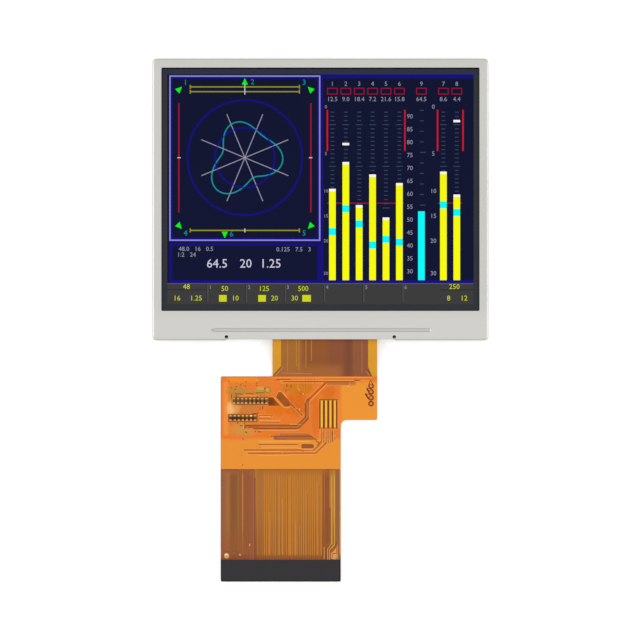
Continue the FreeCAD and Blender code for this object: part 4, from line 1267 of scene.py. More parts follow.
@dataclass
class BaseSheet(Sheet):
    """The base film with its strip, which shows amber wherever no copper or cover lies on it.

    Attributes:
        foot: height of the darker foot of the tail.
        neck: box of the neck's copper.
        film: box of the base film.
        ridge: width of the ridges on its back, along the front's copper.
    """

    foot: float = 1.1 * MM
    neck: Box = field(default_factory=lambda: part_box("neck_traces"))
    film: Box = field(default_factory=lambda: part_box("flex_circuit"))
    ridge: float = 0.2 * MM

    def opening(self, tone: Colour, edges: Rectangle, soft: float = 1.0) -> Zone:
        """A field of colour in an opening of the cover film, which the back doesn't show."""
        return Zone(tone, self.area(*edges), soft * self.step, side=Side.FRONT)

    def build(self) -> None:
        """Dresses the film, the strip and its solder, and draws the ridges on the film's back."""
        left, right = self.tail[0].x - MM, self.tail[1].x + MM
        low, cover_low = self.tail[0].y - MM, self.cover[0].y
        stiff = self.tail[1].y
        zones = (
            self.opening((150, 86, 40), (88, 19, 109, 51), 0.3),
            self.opening((116, 60, 24), (88, 22.4, 109, 49.4), 0.5),
            self.opening((158, 104, 48), (8, 17, 46, 28)),
            self.opening((112, 68, 26), (22, 21.4, 43, 24.4), 1.5),
            self.opening((196, 146, 76), (7, 17, 13, 30)),
            self.opening((168, 98, 38), (5, 33, 38, 44)),
            self.opening((84, 52, 26), (9, 37.4, 32, 40), 1.5),
            self.opening((120, 62, 22), (134, 5, 142, 29)),
            Zone((198, 132, 54), (self.neck[0].x + 2.6 * MM, self.neck[0].y, self.neck[0].x + 12 * MM,
                                  self.neck[1].y), 1 * MM, side=Side.FRONT),
            Zone((158, 100, 62), (self.neck[1].x - 7 * MM, self.neck[0].y, self.neck[1].x - 2.2 * MM,
                                  self.neck[1].y), 1 * MM, side=Side.FRONT),
            Zone((196, 130, 44), (self.neck[0].x + 1.8 * MM, self.neck[0].y, self.neck[1].x - MM,
                                  self.neck[1].y), 0.3 * MM, side=Side.BACK),
            Zone((176, 112, 42), (left, low, right, cover_low), 0.1 * MM),
            Zone((146, 86, 36), (left, low, right, stiff + 8 * MM), 14 * MM),
            Zone((148, 88, 46), (left, low, self.tail[0].x + 7.8 * MM, cover_low), 0.2 * MM),
            Zone((150, 98, 60), (self.tail[1].x - 1.2 * MM, stiff + 3 * MM, right, cover_low), 0.2 * MM),
            Zone((200, 134, 34), (self.tail[1].x - 0.3 * MM, low, right, cover_low), 0.2 * MM),
            Zone((136, 72, 40), (left, low, right, stiff + self.foot), 0.8 * MM, 0.9),
        )
        streaked = (self.tail[0].x, low, self.tail[1].x, cover_low)
        amber = StreakedFinish("amber_film", (220, 154, 42), (209, 149, 40), patch=5 * MM, rough=0.3,
                               shine=0.08, coat=0.03, zones=zones, streak=(146, 88, 38),
                               light=(206, 140, 60), clear=stiff, fade=26 * MM, area=streaked, side=Side.BACK)
        Bench.dress("flex_circuit", amber)
        self.build_backs()
        strip = Finish("amber_strip", (220, 154, 42), (209, 149, 40), patch=5 * MM, rough=0.3, shine=0.08,
                       coat=0.03)
        Bench.dress("led_strip", strip)
        solder = Finish("bright_solder", (214, 212, 206), (190, 188, 182), patch=0.4 * MM, rough=0.25,
                        metal=1.0)
        Bench.dress("lead_joints", solder)

    def build_backs(self) -> None:
        """Draws the ridges that the wide part's copper presses into the film's back."""
        piece = Bench.rim("route_backs", "signal_traces", self.ridge, self.film[0].z - self.relief / 4,
                          self.relief / 2)
        tan = Finish("back_ridge", (188, 122, 34), (196, 130, 40), patch=3 * MM, rough=0.34, shine=0.08)
        Bench.fit(piece, "polyimide", tan)


@dataclass
class Neck(Sheet):
    """The copper of the neck, seen through the film.

    Attributes:
        copper: box of the neck's copper.
        tones: tone, start and end of each band of it, in shares of its width.
    """

    copper: Box = field(default_factory=lambda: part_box("neck_traces"))
    tones: tuple = (((166, 108, 48), 0.02, 0.3), ((146, 86, 44), 0.3, 0.62), ((138, 80, 54), 0.55, 0.8),
                    ((122, 72, 50), 0.72, 0.8), ((144, 86, 60), 0.82, 0.98))

    def dark_flares(self) -> list[list[Point]]:
        """Lines along the copper's flared lower corners.

        Returns:
            The points of each line.
        """
        low, high = self.copper
        return [[(low.x + 0.1 * MM, low.y + 0.25 * MM), (low.x + 1.9 * MM, low.y + 2.3 * MM)],
                [(high.x - 0.2 * MM, low.y + 0.2 * MM), (high.x - 1 * MM, low.y + 1.5 * MM)]]

    def light_flares(self) -> list[list[Point]]:
        """Light lines just inside the flared corners, and one along the copper's foot.

        Returns:
            The points of each line.
        """
        low, high = self.copper
        return [[(low.x + 0.6 * MM, low.y + 0.2 * MM), (low.x + 2.4 * MM, low.y + 2.2 * MM)],
                [(high.x - 0.6 * MM, low.y + 0.2 * MM), (high.x - 1.4 * MM, low.y + 1.2 * MM)],
                [(low.x + 2.2 * MM, low.y + 0.8 * MM), (low.x + 9 * MM, low.y + 0.6 * MM)]]

    def build(self) -> None:
        """Dresses the copper, brown and darker towards its right, and draws the lines of its corners."""
        low, high = self.copper
        width = high.x - low.x
        zones = tuple(Zone(tone, (low.x + start * width, low.y - MM, low.x + end * width, high.y + MM),
                           1.6 * MM, 0.85) for tone, start, end in self.tones)
        foot = (low.x - MM, low.y - MM, high.x - 7 * MM, low.y + 2.4 * MM)
        zones += (Zone((168, 104, 54), foot, 2.4 * MM, 0.7),)
        brown = ZonedFinish("copper_under_film", (146, 88, 44), (140, 82, 44), patch=0.9 * MM, rough=0.34,
                            shine=0.06, coat=0.03, zones=zones)
        Bench.dress("neck_traces", brown)
        flares = (("dark_flare", self.dark_flares(), (112, 58, 30), (124, 66, 34)),
                  ("light_flare", self.light_flares(), (196, 128, 84), (184, 120, 70)))
        for name, lines, tone, other in flares:
            piece = Bench.strokes(name, lines, 0.16 * MM, high.z - self.relief / 4, self.relief)
            Bench.fit(piece, "neck_copper", Finish(f"{name}_tone", tone, other, patch=2 * MM, rough=0.36))


@dataclass
class WidePart(Sheet):
    """The wide part: cover film, copper, chips, pads and the fine marks of the print.

    Every mark is given in steps of the grid, as a column and a row.

    Attributes:
        ridge: width of the film's ridge along the copper, coloured as a painted highlight.
        light_lines: fine light lines.
        dark_lines: fine dark lines.
        vias: small plated holes.
        dark_vias: filled ones that show dark.
        beads: bright specks of solder.
        loop: radius of the dark outline round each test pad of the ear.
        tips: direction, in degrees, and length of the tip that each outline runs out to.
        shades: dark strokes between the outlines.
        tan_lines: fine tan lines.
        faint_lines: fine lines that hardly show.
    """

    ridge: float = 0.26 * MM
    loop: float = 0.56 * MM
    tips: tuple = ((96, 1.3 * MM), (138, 1.35 * MM), (138, 1.4 * MM), (138, 0.58 * MM))
    shades: tuple = (((134, 11.4), (136, 14)), ((132.4, 15.8), (135.6, 20.4)))
    light_lines: tuple = (
        ((47, 1.1), (138.8, 1.1)), ((54, 3.8), (122, 3.8)), ((55, 5.9), (94, 5.9)), ((63, 44), (74, 44)),
        ((48.6, 19.2), (57.6, 28.4), (63, 28.8)), ((53.2, 13.4), (56, 14.4), (61, 20)),
        ((36, 36.9), (46, 36.9)), ((35, 40.4), (55, 40.4)), ((34.5, 63.7), (70, 63.7)),
        ((36, 65.6), (69, 65), (75.4, 67), (84.6, 67.2)), ((25, 69), (54, 69)),
        ((34, 72.6), (62, 72.6), (64, 71.4), (88, 71.4)), ((70.5, 10.5), (72.6, 13.4)),
        ((97.4, 7), (81.6, 23)), ((108.4, 22), (108.4, 48)), ((35, 49.4), (69, 49.4), (72, 47.8)),
        ((91, 50), (91, 60), (85, 66)), ((95.2, 50), (95.2, 61)), ((99, 50), (99, 60)),
        ((103.4, 50), (103.4, 57)), ((128.4, 3.8), (136.4, 3.8)),
    )
    dark_lines: tuple = (
        ((51, 2.8), (64, 2.8)), ((57, 4.8), (122, 4.8)), ((95.9, 6.3), (79.6, 22.4)),
        ((21.6, 44.7), (70, 44.7), (77.6, 37.1), (77.6, 24)), ((30, 48), (71.2, 48), (80.8, 38.4)),
        ((34, 50.8), (37, 50.8)), ((60.6, 7), (60.6, 9.6)), ((64.5, 7.6), (64.5, 10.4)),
        ((59.8, 12), (59.8, 14)), ((46, 54.8), (84, 54.8)), ((94.7, 50), (94.7, 61)),
        ((98.6, 50), (98.6, 61)), ((102.4, 50), (102.4, 60)), ((88, 63.4), (91.6, 59.6)),
        ((87, 58.6), (90.4, 61.6)), ((22, 50.6), (24.5, 52)), ((122.6, 3.5), (127, 3.5)),
        ((9.8, 16.4), (9.8, 20)), ((14.2, 16.8), (14.2, 20)), ((33.4, 17.6), (33.4, 20)),
        ((13, 15.8), (20, 16.3)), ((23, 15.8), (30, 16.2)), ((32, 15), (40, 14.8)),
        ((28, 34.6), (34.6, 33.4)), ((15.4, 42.2), (15.4, 43.6)), ((22, 42.2), (22, 43.8)),
        ((38.6, 27), (38.2, 30)),
    )
    tan_lines: tuple = (
        ((35, 46.4), (70.5, 46.4), (79.2, 37.7), (79.2, 24)), ((8, 15), (20, 15.4), (40, 15.2)),
        ((11.8, 16.4), (11.8, 20)), ((16, 17.4), (16, 20)), ((36.4, 16.8), (36.4, 20.4)),
        ((92, 52.2), (92, 60.4), (85.4, 67)), ((50, 53.4), (79, 53.4)),
    )
    faint_lines: tuple = (
        ((77.8, 2), (77.8, 13)), ((80.4, 2), (80.4, 13.2)), ((82.6, 2), (82.6, 12)),
        ((74.9, 5.8), (74.9, 9)), ((86, 2), (86, 8)), ((58, 10), (58, 13)), ((62.4, 12), (63.4, 14)),
    )
    vias: tuple = (
        (9.7, 7.2), (14.8, 7.3), (19.8, 7.2), (29.9, 7.2), (6.4, 9.9), (16.7, 10.2), (21.6, 10.1),
        (24.4, 8.4), (31.4, 9.8), (70.7, 9.1), (80.7, 18.5), (96.6, 50.4), (104.6, 49), (96.6, 53.5),
        (104.6, 54.6), (19.4, 69.7), (19.4, 72.6), (56.2, 71), (46.4, 36.9), (33.6, 64.3), (47.8, 55.8),
        (16.5, 47), (24.3, 47), (62.8, 28.4), (68.6, 29.6),
    )
    dark_vias: tuple = (
        (9.9, 10.3), (18.5, 8), (14.4, 9.4), (22.8, 8.7), (13.2, 11.9), (7.3, 4.4), (23, 5), (33, 6),
        (33, 8.4), (73.2, 16), (18.1, 45.1), (21.8, 47.2), (31.6, 50.5), (19.4, 45.4), (50.3, 56.2),
        (36.2, 65.2), (75.6, 68.8), (20.2, 57.3), (36, 30), (61.8, 26.2), (103, 52), (20, 81.4), (40.4, 11),
        (96, 61.5),
    )
    beads: tuple = (
        (9, 7.2), (14.8, 7.1), (30, 7.2), (19.8, 7.1), (33.6, 3.4), (22, 10), (17, 10.2), (75.6, 16),
        (117, 9), (24.6, 47.6), (20.8, 46.8), (72.4, 30),
    )

    def cover_zones(self) -> tuple[Zone, ...]:
        """Tones of the cover film, from what lies under it.

        Returns:
            The fields of colour.
        """
        return (
            self.zone((229, 143, 50), (-3, 57, 113, 90), 3),
            self.zone((234, 147, 50), (110, 5, 145, 45), 4),
            self.zone((190, 112, 50), (94, 4.6, 124, 8), 2, 0.9),
            self.zone((206, 122, 40), (95, 1, 140, 4), 1.5, 0.7),
            self.zone((238, 142, 58), (2.4, 5, 7, 54), 3, 0.9),
            self.zone((240, 138, 32), (6, 1, 34, 5.4), 3, 0.9),
            self.glow((202, 120, 26), (51, 1, 90, 20), 0.9),
            self.glow((214, 106, 26), (90, 6, 108, 24), 0.8),
            self.glow((214, 104, 22), (54, 12, 86, 40)),
            self.glow((222, 112, 18), (38, 24, 66, 38), 0.9),
            self.glow((184, 134, 54), (2, 8, 30, 19), 0.9),
            self.glow((176, 134, 44), (26, 11, 48, 18), 0.9),
            self.glow((250, 146, 66), (14, 16, 40, 21), 0.8),
            self.glow((204, 122, 52), (6, 23, 40, 37), 0.9),
            self.glow((226, 158, 86), (3, 20, 19, 38), 0.9),
            self.glow((242, 184, 112), (5, 21, 13, 38), 0.9),
            self.glow((204, 146, 62), (2, 41, 36, 58), 0.9),
            self.glow((236, 112, 50), (0, 52, 30, 60), 0.6),
            self.glow((214, 104, 30), (82, 6, 92, 60), 0.6),
            self.zone((150, 92, 50), (-2, -2, 0.35, 88), 0.8, 0.8),
            self.zone((176, 104, 52), (-2, -2, 48, 0.4), 0.8, 0.8),
        )

    def route_zones(self) -> tuple[Zone, ...]:
        """Tones of the copper under the film.

        Returns:
            The fields of colour.
        """
        return (
            self.zone((222, 118, 40), (46, 1.6, 93, 5.6), 0.4),
            self.zone((222, 112, 34), (80.9, 4, 96.4, 21.4), 0.6),
            self.zone((184, 108, 52), (95.4, 4, 125, 8), 1),
            self.zone((128, 62, 14), (43, 18.5, 55, 27.6), 1),
            self.glow((104, 60, 12), (40, 18, 48, 29), 0.8),
            self.zone((154, 80, 24), (49.5, 13, 63, 29), 3, 0.8),
            self.zone((178, 100, 74), (46, 51.5, 66, 57), 2, 0.9),
            self.zone((176, 100, 46), (60, 51.5, 92, 59), 4, 0.9),
            self.zone((150, 84, 42), (73, 61, 86, 66.4), 0.6),
            self.zone((194, 114, 42), (90, 46.5, 107, 62), 1, 0.9),
        )

    def finishes(self) -> dict[str, Finish]:
        """The finish of each of the wide part's nodes.

        Returns:
            The finishes by node.
        """
        gold = Finish("gold_plate", (254, 190, 70), (244, 176, 56), patch=1.5 * MM, rough=0.34, metal=1.0,
                      grain=0.08 * MM)
        return {
            "component_coverlay": ZonedFinish("orange_cover_film", (230, 124, 46), (224, 117, 40),
                                              patch=5 * MM, rough=0.32, shine=0.06, coat=0.03, grain=0.4 * MM,
                                              depth=0.002 * MM, zones=self.cover_zones()),
            "signal_traces": ZonedFinish("route_under_film", (176, 98, 44), (160, 86, 40), patch=2 * MM,
                                         rough=0.34, shine=0.08, coat=0.03, zones=self.route_zones()),
            "touch_pads": gold,
            "test_pads": Finish("test_pad_copper", (230, 132, 56), (216, 118, 48), patch=1 * MM, rough=0.4),
            "chip_terminals": ZonedFinish("dull_solder", (250, 208, 136), (160, 106, 46), patch=0.4 * MM,
                                          rough=0.35, metal=0.5, zones=self.terminal_zones()),
            "chip_capacitors": Finish("brown_ceramic", (168, 104, 52), (34, 16, 12), patch=0.7 * MM,
                                      rough=0.45),
            "chip_resistors": ZonedFinish("dark_glaze", (30, 22, 26), (96, 62, 34), patch=0.9 * MM,
                                          rough=0.35, zones=(self.zone((104, 62, 30), (19, 34, 36, 44), 3),)),
        }

    def terminal_zones(self) -> tuple[Zone, ...]:
        """The soldered ends are greener to the left, and one in the lower row is bright."""
        return (self.glow((176, 160, 92), (6, 17, 20, 25)), self.zone((220, 178, 66), (17, 34, 26, 43), 1),
                self.glow((255, 226, 160), (26, 34, 30, 39)))

    def lines(self, name: str, paths: tuple, width: float) -> bpy.types.Object:
        """Makes a piece of fine lines on the film."""
        spots = [[self.spot(*point) for point in path] for path in paths]
        return Bench.strokes(name, spots, width, self.cover[1].z, self.relief)

    def marks(self, name: str, tone: Colour, other: Colour, piece: bpy.types.Object) -> None:
        """Dresses a piece of fine marks."""
        Bench.fit(piece, "coverlay_orange", Finish(name, tone, other, patch=2 * MM, rough=0.36, shine=0.08))

    def build_lines(self) -> None:
        """The ridge along the copper, with a painted highlight where the film drapes over the copper's edges,
        and fine lines beside it.
        """
        # The ridge is real relief; its light orange is a painted highlight of the film draped over the
        # copper.
        ridge = Bench.rim("route_ridges", "signal_traces", self.ridge, self.cover[1].z - self.relief / 4,
                          self.relief / 2)
        self.marks("film_ridge_highlight", (247, 152, 70), (236, 140, 60), ridge)
        yellow = (((34.5, 59.6), (82, 59.6)),)
        prints = (
            ("light_print", (252, 166, 84), (244, 154, 72), "light_lines", self.light_lines, 0.14 * MM),
            ("dark_print", (148, 68, 26), (132, 62, 22), "dark_lines", self.dark_lines, 0.18 * MM),
            ("tan_print", (194, 126, 68), (184, 116, 58), "tan_lines", self.tan_lines, 0.2 * MM),
            ("faint_print", (176, 100, 34), (192, 112, 40), "faint_lines", self.faint_lines, 0.1 * MM),
            ("yellow_print", (240, 172, 56), (236, 164, 54), "yellow_line", yellow, 0.26 * MM),
        )
        for finish, tone, other, name, paths, width in prints:
            self.marks(finish, tone, other, self.lines(name, paths, width))

    def ear_pads(self) -> list[Point]:
        """Centres of the ear's test pads, from the top down.

        Returns:
            The centres.
        """
        low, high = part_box("test_pads")
        radius = (high.x - low.x) / 2
        step = (high.y - low.y - 2 * radius) / (len(self.tips) - 1)
        return [(low.x + radius, high.y - radius - number * step) for number in range(len(self.tips))]

    def teardrop(self, centre: Point, turn: float, reach: float) -> list[Point]:
        """The outline of a round pad that runs out to a tip.

        Args:
            centre: the pad's centre.
            turn: direction of the tip.
            reach: how far the tip lies from the centre.

        Returns:
            The tip, and points round the pad from one side of it to the other.
        """
        half = math.acos(self.loop / reach)
        turns = [turn + half + (2 * math.pi - 2 * half) * number / 18 for number in range(19)]
        tip = (centre[0] + reach * math.cos(turn), centre[1] + reach * math.sin(turn))
        return [tip] + [(centre[0] + self.loop * math.cos(side), centre[1] + self.loop * math.sin(side))
                        for side in turns]

    def build_ear(self) -> None:
        """The outlines round the ear's test pads, with their light tips and the dark strokes between them."""
        level = self.cover[1].z
        outlines, lights = [], []
        for centre, (degrees, reach) in zip(self.ear_pads(), self.tips):
            turn = math.radians(degrees)
            outlines.append(self.teardrop(centre, turn, reach))
            if reach > 2 * self.loop:
                ahead = (reach * math.cos(turn), reach * math.sin(turn))
                lights.append([(centre[0] + share * ahead[0], centre[1] + share * ahead[1])
                               for share in (0.5, 0.74)])
        self.marks("ear_light", (252, 150, 70), (246, 142, 62),
                   Bench.strokes("ear_lights", lights, 0.3 * MM, level, self.relief / 2))
        shades = self.lines("ear_shades", self.shades, 0.34 * MM)
        self.marks("ear_shade", (116, 48, 30), (104, 42, 36), shades)
        self.marks("ear_outline", (136, 62, 22), (124, 54, 24),
                   Bench.strokes("ear_outlines", outlines, 0.2 * MM, level, self.relief, closed=True))

    def build_vias(self) -> None:
        """Small plated holes, specks of solder, and the greenish and tan pads above the upper chips."""
        level = self.cover[1].z
        rings = [self.spot(*place) for place in self.vias]
        self.marks("via_rim", (246, 152, 84), (236, 138, 74),
                   Bench.discs("via_rims", rings, 0.21 * MM, level, self.relief, 0.1 * MM))
        centres = rings + [self.spot(*place) for place in self.dark_vias]
        self.marks("via_hole", (120, 64, 14), (142, 84, 24),
                   Bench.discs("via_holes", centres, 0.14 * MM, level, self.relief / 2))
        beads = [self.spot(*place) for place in self.beads]
        self.marks("bead_light", (255, 176, 116), (252, 160, 100),
                   Bench.discs("light_specks", beads, 0.15 * MM, level, self.relief))
        columns = (10.4, 14.2, 18.8, 22.6, 28, 31.4)
        pads = [self.area(column - 0.6, 12.6, column + 0.6, 14.8) for column in columns]
        pads += [self.area(32.5, 12.8, 39, 14.6)]
        green = Bench.plates("green_pads", pads, level, self.relief)
        self.marks("green_pad", (150, 142, 50), (176, 168, 60), green)
        tan = Bench.plates("tan_pad", [self.area(33, 9.6, 39.4, 12.6)], level, self.relief)
        self.marks("tan_pad", (222, 158, 72), (210, 146, 62), tan)
        big = [self.spot(43, 12.3)]
        self.marks("olive_ring", (140, 112, 30), (170, 140, 50),
                   Bench.discs("olive_ring", big, 0.72 * MM, level, self.relief / 2, 0.5 * MM))
        self.marks("tan_disc", (220, 162, 80), (200, 140, 60),
                   Bench.discs("tan_disc", big, 0.5 * MM, level, self.relief))

    def build(self) -> None:
        """Dresses the nodes and adds the fine marks."""
        for node, finish in self.finishes().items():
            Bench.dress(node, finish)
        self.build_lines()
        self.build_ear()
        self.build_vias()


@dataclass
class Tail(Sheet):
    """The tail: copper bands and traces, pads, contacts and the stiffener.

    Attributes:
        bands: tone, start, end and softness of each band of copper, in mm from the tail's left edge.
        edge: width of the stiffener's darker edge.
        dark_jogs: dark lines that jog inward, in mm right of the tail's left edge and above the stiffener,
            as are all the paths below.
        gold_jogs: gold lines beside them.
        orange_paths: strokes that fill the bright field round the square pad.
        amber_paths: fine light lines.
        brown_paths: fine dark lines.
        speck_paths: short specks of solder.
        purple_paths: fine purple lines.
    """

    bands: tuple = (
        ((150, 94, 66), -1.0, 1.6, 1.4), ((134, 86, 48), 1.8, 4.2, 1.4), ((188, 124, 74), 4.8, 5.2, 0.2),
        ((150, 86, 58), 6.0, 7.6, 0.8), ((172, 112, 60), 8.0, 9.8, 0.8), ((146, 82, 46), 23.2, 25.0, 0.3),
        ((200, 142, 66), 25.0, 25.5, 0.2), ((208, 158, 68), 25.6, 26.2, 0.2),
        ((146, 96, 62), 26.5, 27.4, 0.2),
    )
    edge: float = 0.3 * MM
    dark_jogs: tuple = (
        ((24.35, 12), (24.35, 3.65), (23.94, 2.83), (23.94, 0.05)),
        ((25.03, 12), (25.03, 3.65), (24.31, 2.6), (24.31, 0.05)),
        ((25.74, 8), (25.74, 3.6), (24.72, 2.3), (24.72, 0.05)),
        ((26.46, 4), (26.44, 3.4), (25.14, 2), (25.14, 0.05)),
    )
    gold_jogs: tuple = (
        ((25.37, 19), (25.37, 3.65), (24.52, 2.6), (24.52, 0.05)),
        ((26.1, 19), (26.1, 3.6), (24.93, 2.15), (24.93, 0.05)), ((26.72, 3.4), (26.72, 0.1)),
        ((23.72, 3), (23.72, 0.1)),
    )
    orange_paths: tuple = (
        ((25.42, 1.7), (25.42, 0.2)), ((25.6, 0.25), (26.5, 0.25)), ((25.55, 1.7), (26.5, 1.7)),
        ((25.8, 1.95), (26.5, 1.95)), ((26, 2.2), (26.5, 2.2)), ((26.2, 2.45), (26.5, 2.45)),
        ((26.4, 2.7), (26.5, 2.7)),
    )
    amber_paths: tuple = (
        ((11.2, 11), (11.2, 1.1)), ((13.3, 19.4), (13.3, 1.1)), ((14.2, 14), (14.2, 1.1)),
        ((15.8, 19.4), (15.8, 1.1)), ((19.6, 16), (19.6, 1.1)), ((22.2, 18), (22.2, 1.1)),
        ((17.2, 9), (17.2, 1.1)), ((18.1, 8), (18.1, 1.1)),
    )
    brown_paths: tuple = (
        ((12.95, 18.6), (12.95, 0.2)), ((15.35, 18.6), (15.35, 0.2)), ((16.2, 18.6), (16.2, 0.2)),
        ((19.9, 15), (19.9, 0.2)), ((22.5, 17), (22.5, 0.2)), ((6, 18), (6, 0.2)), ((5.6, 18), (5.6, 2.4)),
    )
    speck_paths: tuple = (((6.62, 3.7), (6.6, 3.2)), ((4.2, 1.3), (4.6, 1)))
    purple_paths: tuple = (((7.82, 18.8), (7.82, 0.1)), ((3.2, 1.9), (4.4, 1.5)), ((0.6, 2.2), (1.9, 1.75)))

    def copper_zones(self) -> tuple[Zone, ...]:
        """The bands of copper, the darker foot above the stiffener, and a painted shadow line under the cover
        film's lower edge.

        Returns:
            The fields of colour.
        """
        left, right = self.tail[0].x, self.tail[1].x
        low, high = self.tail[0].y - MM, self.cover[1].y
        bands = tuple(Zone(tone, (left + start * MM, low, left + end * MM, high), soft * MM)
                      for tone, start, end, soft in self.bands)
        root = (left, low, left + 7.6 * MM, self.tail[1].y + 6 * MM)
        jog = (right - 3.6 * MM, low, right - 2 * MM, self.tail[1].y + 3.6 * MM)
        bands += (Zone((146, 84, 48), root, 6 * MM, 0.6), Zone((186, 120, 46), jog, 0.4 * MM))
        foot = Zone((140, 76, 44), (left - MM, low, right - 3 * MM, self.tail[1].y + MM), 1.2 * MM, 0.85)
        top = self.cover[0].y
        head = Zone((164, 100, 46), (left - MM, top - 1.2 * MM, right, high), 1.6 * MM, 0.6)
        violet = Zone((146, 82, 80), (left - MM, top - 0.7 * MM, left + 7.8 * MM, high), 0.6 * MM, 0.7)
        # Painted shadow: a dark line just under the cover film's lower edge.
        cover_edge_shadow = Zone((136, 68, 28), (left - MM, top - 0.2 * MM, right + MM, high), 0.16 * MM, 0.9)
        return bands + (foot, head, violet, cover_edge_shadow)

    def lines(self, name: str, paths: tuple, width: float, tone: Colour, other: Colour) -> None:
        """Adds fine lines, each point given in mm right of the tail's left edge and above the stiffener.

        Args:
            name: the piece's name.
            paths: the points of each line.
            width: width of the lines.
            tone: their main colour.
            other: the tone that it drifts to.
        """
        left, foot = self.tail[0].x, self.tail[1].y
        spots = [[(left + across * MM, foot + up * MM) for across, up in path] for path in paths]
        piece = Bench.strokes(name, spots, width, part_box("tail_traces")[1].z - self.relief / 4, self.relief)
        finish = Finish(f"{name}_tone", tone, other, patch=2 * MM, rough=0.36, coat=0.04)
        Bench.fit(piece, "tail_copper", finish)

    def build_lines(self) -> None:
        """The lines that jog inward beside the square pad, a bright field round it and a few fine lines."""
        self.lines("dark_jogs", self.dark_jogs, 0.16 * MM, (136, 70, 34), (124, 64, 40))
        self.lines("gold_jogs", self.gold_jogs, 0.16 * MM, (208, 148, 62), (216, 156, 68))
        self.lines("orange_field", self.orange_paths, 0.3 * MM, (232, 134, 54), (236, 148, 66))
        self.lines("amber_streaks", self.amber_paths, 0.12 * MM, (204, 138, 62), (198, 130, 54))
        self.lines("brown_streaks", self.brown_paths, 0.1 * MM, (160, 96, 40), (150, 90, 40))
        self.lines("tail_specks", self.speck_paths, 0.3 * MM, (214, 170, 108), (200, 150, 90))
        self.lines("tail_slot", (((6.64, 3), (6.6, 2.3)),), 0.34 * MM, (150, 104, 34), (136, 90, 34))
        self.lines("purple_line", self.purple_paths, 0.16 * MM, (136, 64, 72), (128, 60, 62))

    def build(self) -> None:
        """Dresses every node of the tail and adds its fine lines."""
        left, right = self.tail[0].x, self.tail[1].x
        low, high = self.tail[0].y, self.tail[1].y
        streaked = (left + 9.6 * MM, low, right - 4.2 * MM, self.cover[1].y)
        copper = StreakedFinish("tail_copper_under_film", (198, 127, 46), (190, 120, 46), patch=3 * MM,
                                rough=0.34, shine=0.06, coat=0.03, zones=self.copper_zones(),
                                streak=(150, 92, 40), light=(208, 140, 70), clear=high + 7 * MM,
                                fade=16 * MM, area=streaked)
        Bench.dress("tail_traces", copper)
        gold = Finish("gold_contact", (240, 186, 92), (226, 168, 74), patch=1.5 * MM, rough=0.28, metal=1.0,
                      grain=0.08 * MM)
        Bench.dress("contact_fingers", gold)
        # Painted highlight: a bright oval at the upper left of the pale pad.
        lit = (left + 0.7 * MM, high + 0.8 * MM, left + 1.7 * MM, high + 1.7 * MM)
        painted_pad_highlight = Zone((250, 214, 166), lit, 0.0, 0.9, True)
        pale = ZonedFinish("pale_pad", (214, 168, 112), (190, 148, 106), patch=0.6 * MM, rough=0.4, metal=0.4,
                           zones=(painted_pad_highlight,))
        Bench.dress("alignment_pads", pale)
        dark = tuple(Zone((34, 33, 34), area, 0.1 * MM) for area in
                     ((left - MM, low - MM, left + self.edge, high + MM),
                      (right - self.edge, low - MM, right + MM, high + MM),
                      (left - MM, low - MM, right + MM, low + self.edge)))
        laminate = ZonedFinish("dark_laminate", (52, 51, 50), (50, 47, 52), patch=5 * MM, rough=0.5,
                               shine=0.1, grain=0.15 * MM, depth=0.004 * MM, zones=dark)
        Bench.dress("tail_stiffener", laminate)
        self.build_lines()


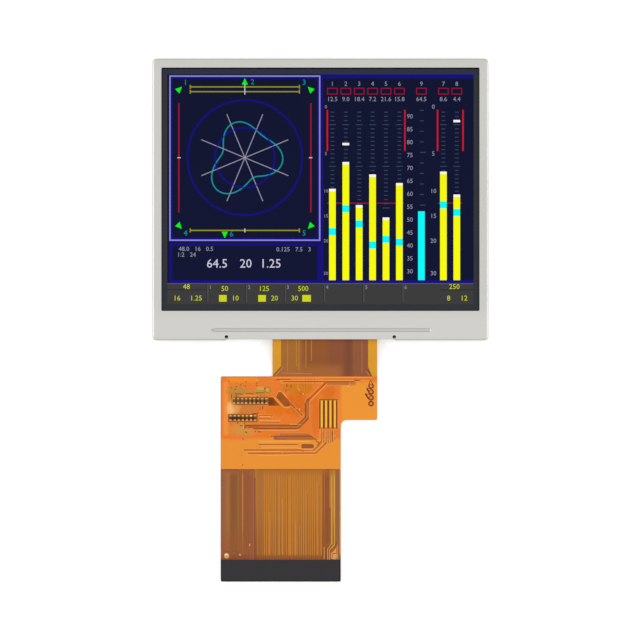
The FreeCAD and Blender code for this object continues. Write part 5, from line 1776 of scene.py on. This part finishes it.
@dataclass
class Studio:
    """Floor, lamps and camera.

    Attributes:
        photo_pixels: the photograph's width.
        pixels_per_metre: how many of its pixels one metre of the module takes.
        centre: the point under the middle of the photograph.
        distance: how high the camera stands.
        sensor: width of the camera's sensor, in mm.
        room: strength of the even light from all round.
        floor_glow: how much the floor glows to the eye, to show as white.
        lamps: name, place, size and power of each lamp.
    """

    photo_pixels: float = 640.0
    pixels_per_metre: float = 4360.0
    centre: Point = (-0.10 * MM, -27.57 * MM)
    distance: float = 1.4
    sensor: float = 36.0
    room: float = 0.76
    floor_glow: float = 0.36
    lamps: tuple = (("overhead_lamp", (0.1, 0.3, 1.7), 1.6, 2.2), ("left_lamp", (-0.9, 0.1, 0.7), 0.7, 2.8),
                    ("right_lamp", (0.9, -0.1, 0.7), 0.7, 2.5))

    def floor(self) -> None:
        """A pale floor that shows as white and keeps the module's shadow."""
        Bench.free()
        bpy.ops.mesh.primitive_plane_add(size=4.0, location=(0.0, 0.0, -0.05 * MM))
        floor = Bench.named("floor")
        graph = Graph(bpy.data.materials.new("pale_floor"))
        seen = graph.node("ShaderNodeLightPath", output="Is Camera Ray")
        for output in ("Is Glossy Ray", "Is Transmission Ray"):
            seen = seen + graph.node("ShaderNodeLightPath", output=output)
        paper = graph.mix(graph.noise(40 * MM), (0.8, 0.8, 0.8, 1.0), (0.82, 0.82, 0.82, 1.0))
        matt = graph.node("ShaderNodeBsdfDiffuse", inputs={"Color": paper})
        glow = graph.node("ShaderNodeEmission", inputs={"Color": WHITE, "Strength": seen * self.floor_glow})
        graph.close("ShaderNodeOutputMaterial", graph.node("ShaderNodeAddShader", inputs={0: matt, 1: glow}))
        floor.data.materials.append(graph.owner)

    def lamp(self, name: str, place: tuple[float, float, float], size: float, power: float) -> None:
        """A large square lamp that faces the module.

        Args:
            name: the lamp's name.
            place: where it stands.
            size: length of its sides.
            power: its power in watts.
        """
        Bench.free()
        bpy.ops.object.light_add(type="AREA", location=place)
        lamp = bpy.context.active_object
        lamp.name = name
        lamp.data.size = size
        lamp.data.energy = power
        aim = Vector(self.centre + (0.0,)) - Vector(place)
        lamp.rotation_euler = aim.to_track_quat("-Z", "Y").to_euler()
        lamp.visible_camera = False

    def light(self) -> None:
        """Even light from all round, with soft lamps above and beside."""
        world = bpy.data.worlds.new("studio")
        bpy.context.scene.world = world
        graph = Graph(world)
        level = graph.node("ShaderNodeLightPath", output="Is Camera Ray") * (1.0 - self.room) + self.room
        backdrop = graph.node("ShaderNodeBackground", inputs={"Color": WHITE, "Strength": level})
        graph.close("ShaderNodeOutputWorld", backdrop)
        for name, place, size, power in self.lamps:
            self.lamp(name, place, size, power)

    def camera(self) -> None:
        """Looks straight down, with the photograph's frame."""
        bpy.ops.object.camera_add(location=self.centre + (self.distance,), rotation=(0.0, 0.0, 0.0))
        camera = bpy.context.active_object
        camera.name = "camera"
        width = self.photo_pixels / self.pixels_per_metre
        camera.data.sensor_width = self.sensor
        camera.data.lens = camera.data.sensor_width * self.distance / width
        camera.data.clip_end = 10.0
        bpy.context.scene.camera = camera

    def build(self) -> None:
        """Sets up the whole studio."""
        bpy.context.scene.view_settings.view_transform = "Standard"
        self.floor()
        self.light()
        self.camera()


def main() -> None:
    """Builds the sub-assemblies in order."""
    logging.basicConfig(level=logging.INFO, format="%(name)s: %(message)s")
    for part in (Housing(), Screen(), BaseSheet(), Neck(), WidePart(), Tail(), Studio()):
        log.info("building %s", type(part).__name__)
        part.build()


if __name__ == "__main__":
    main()
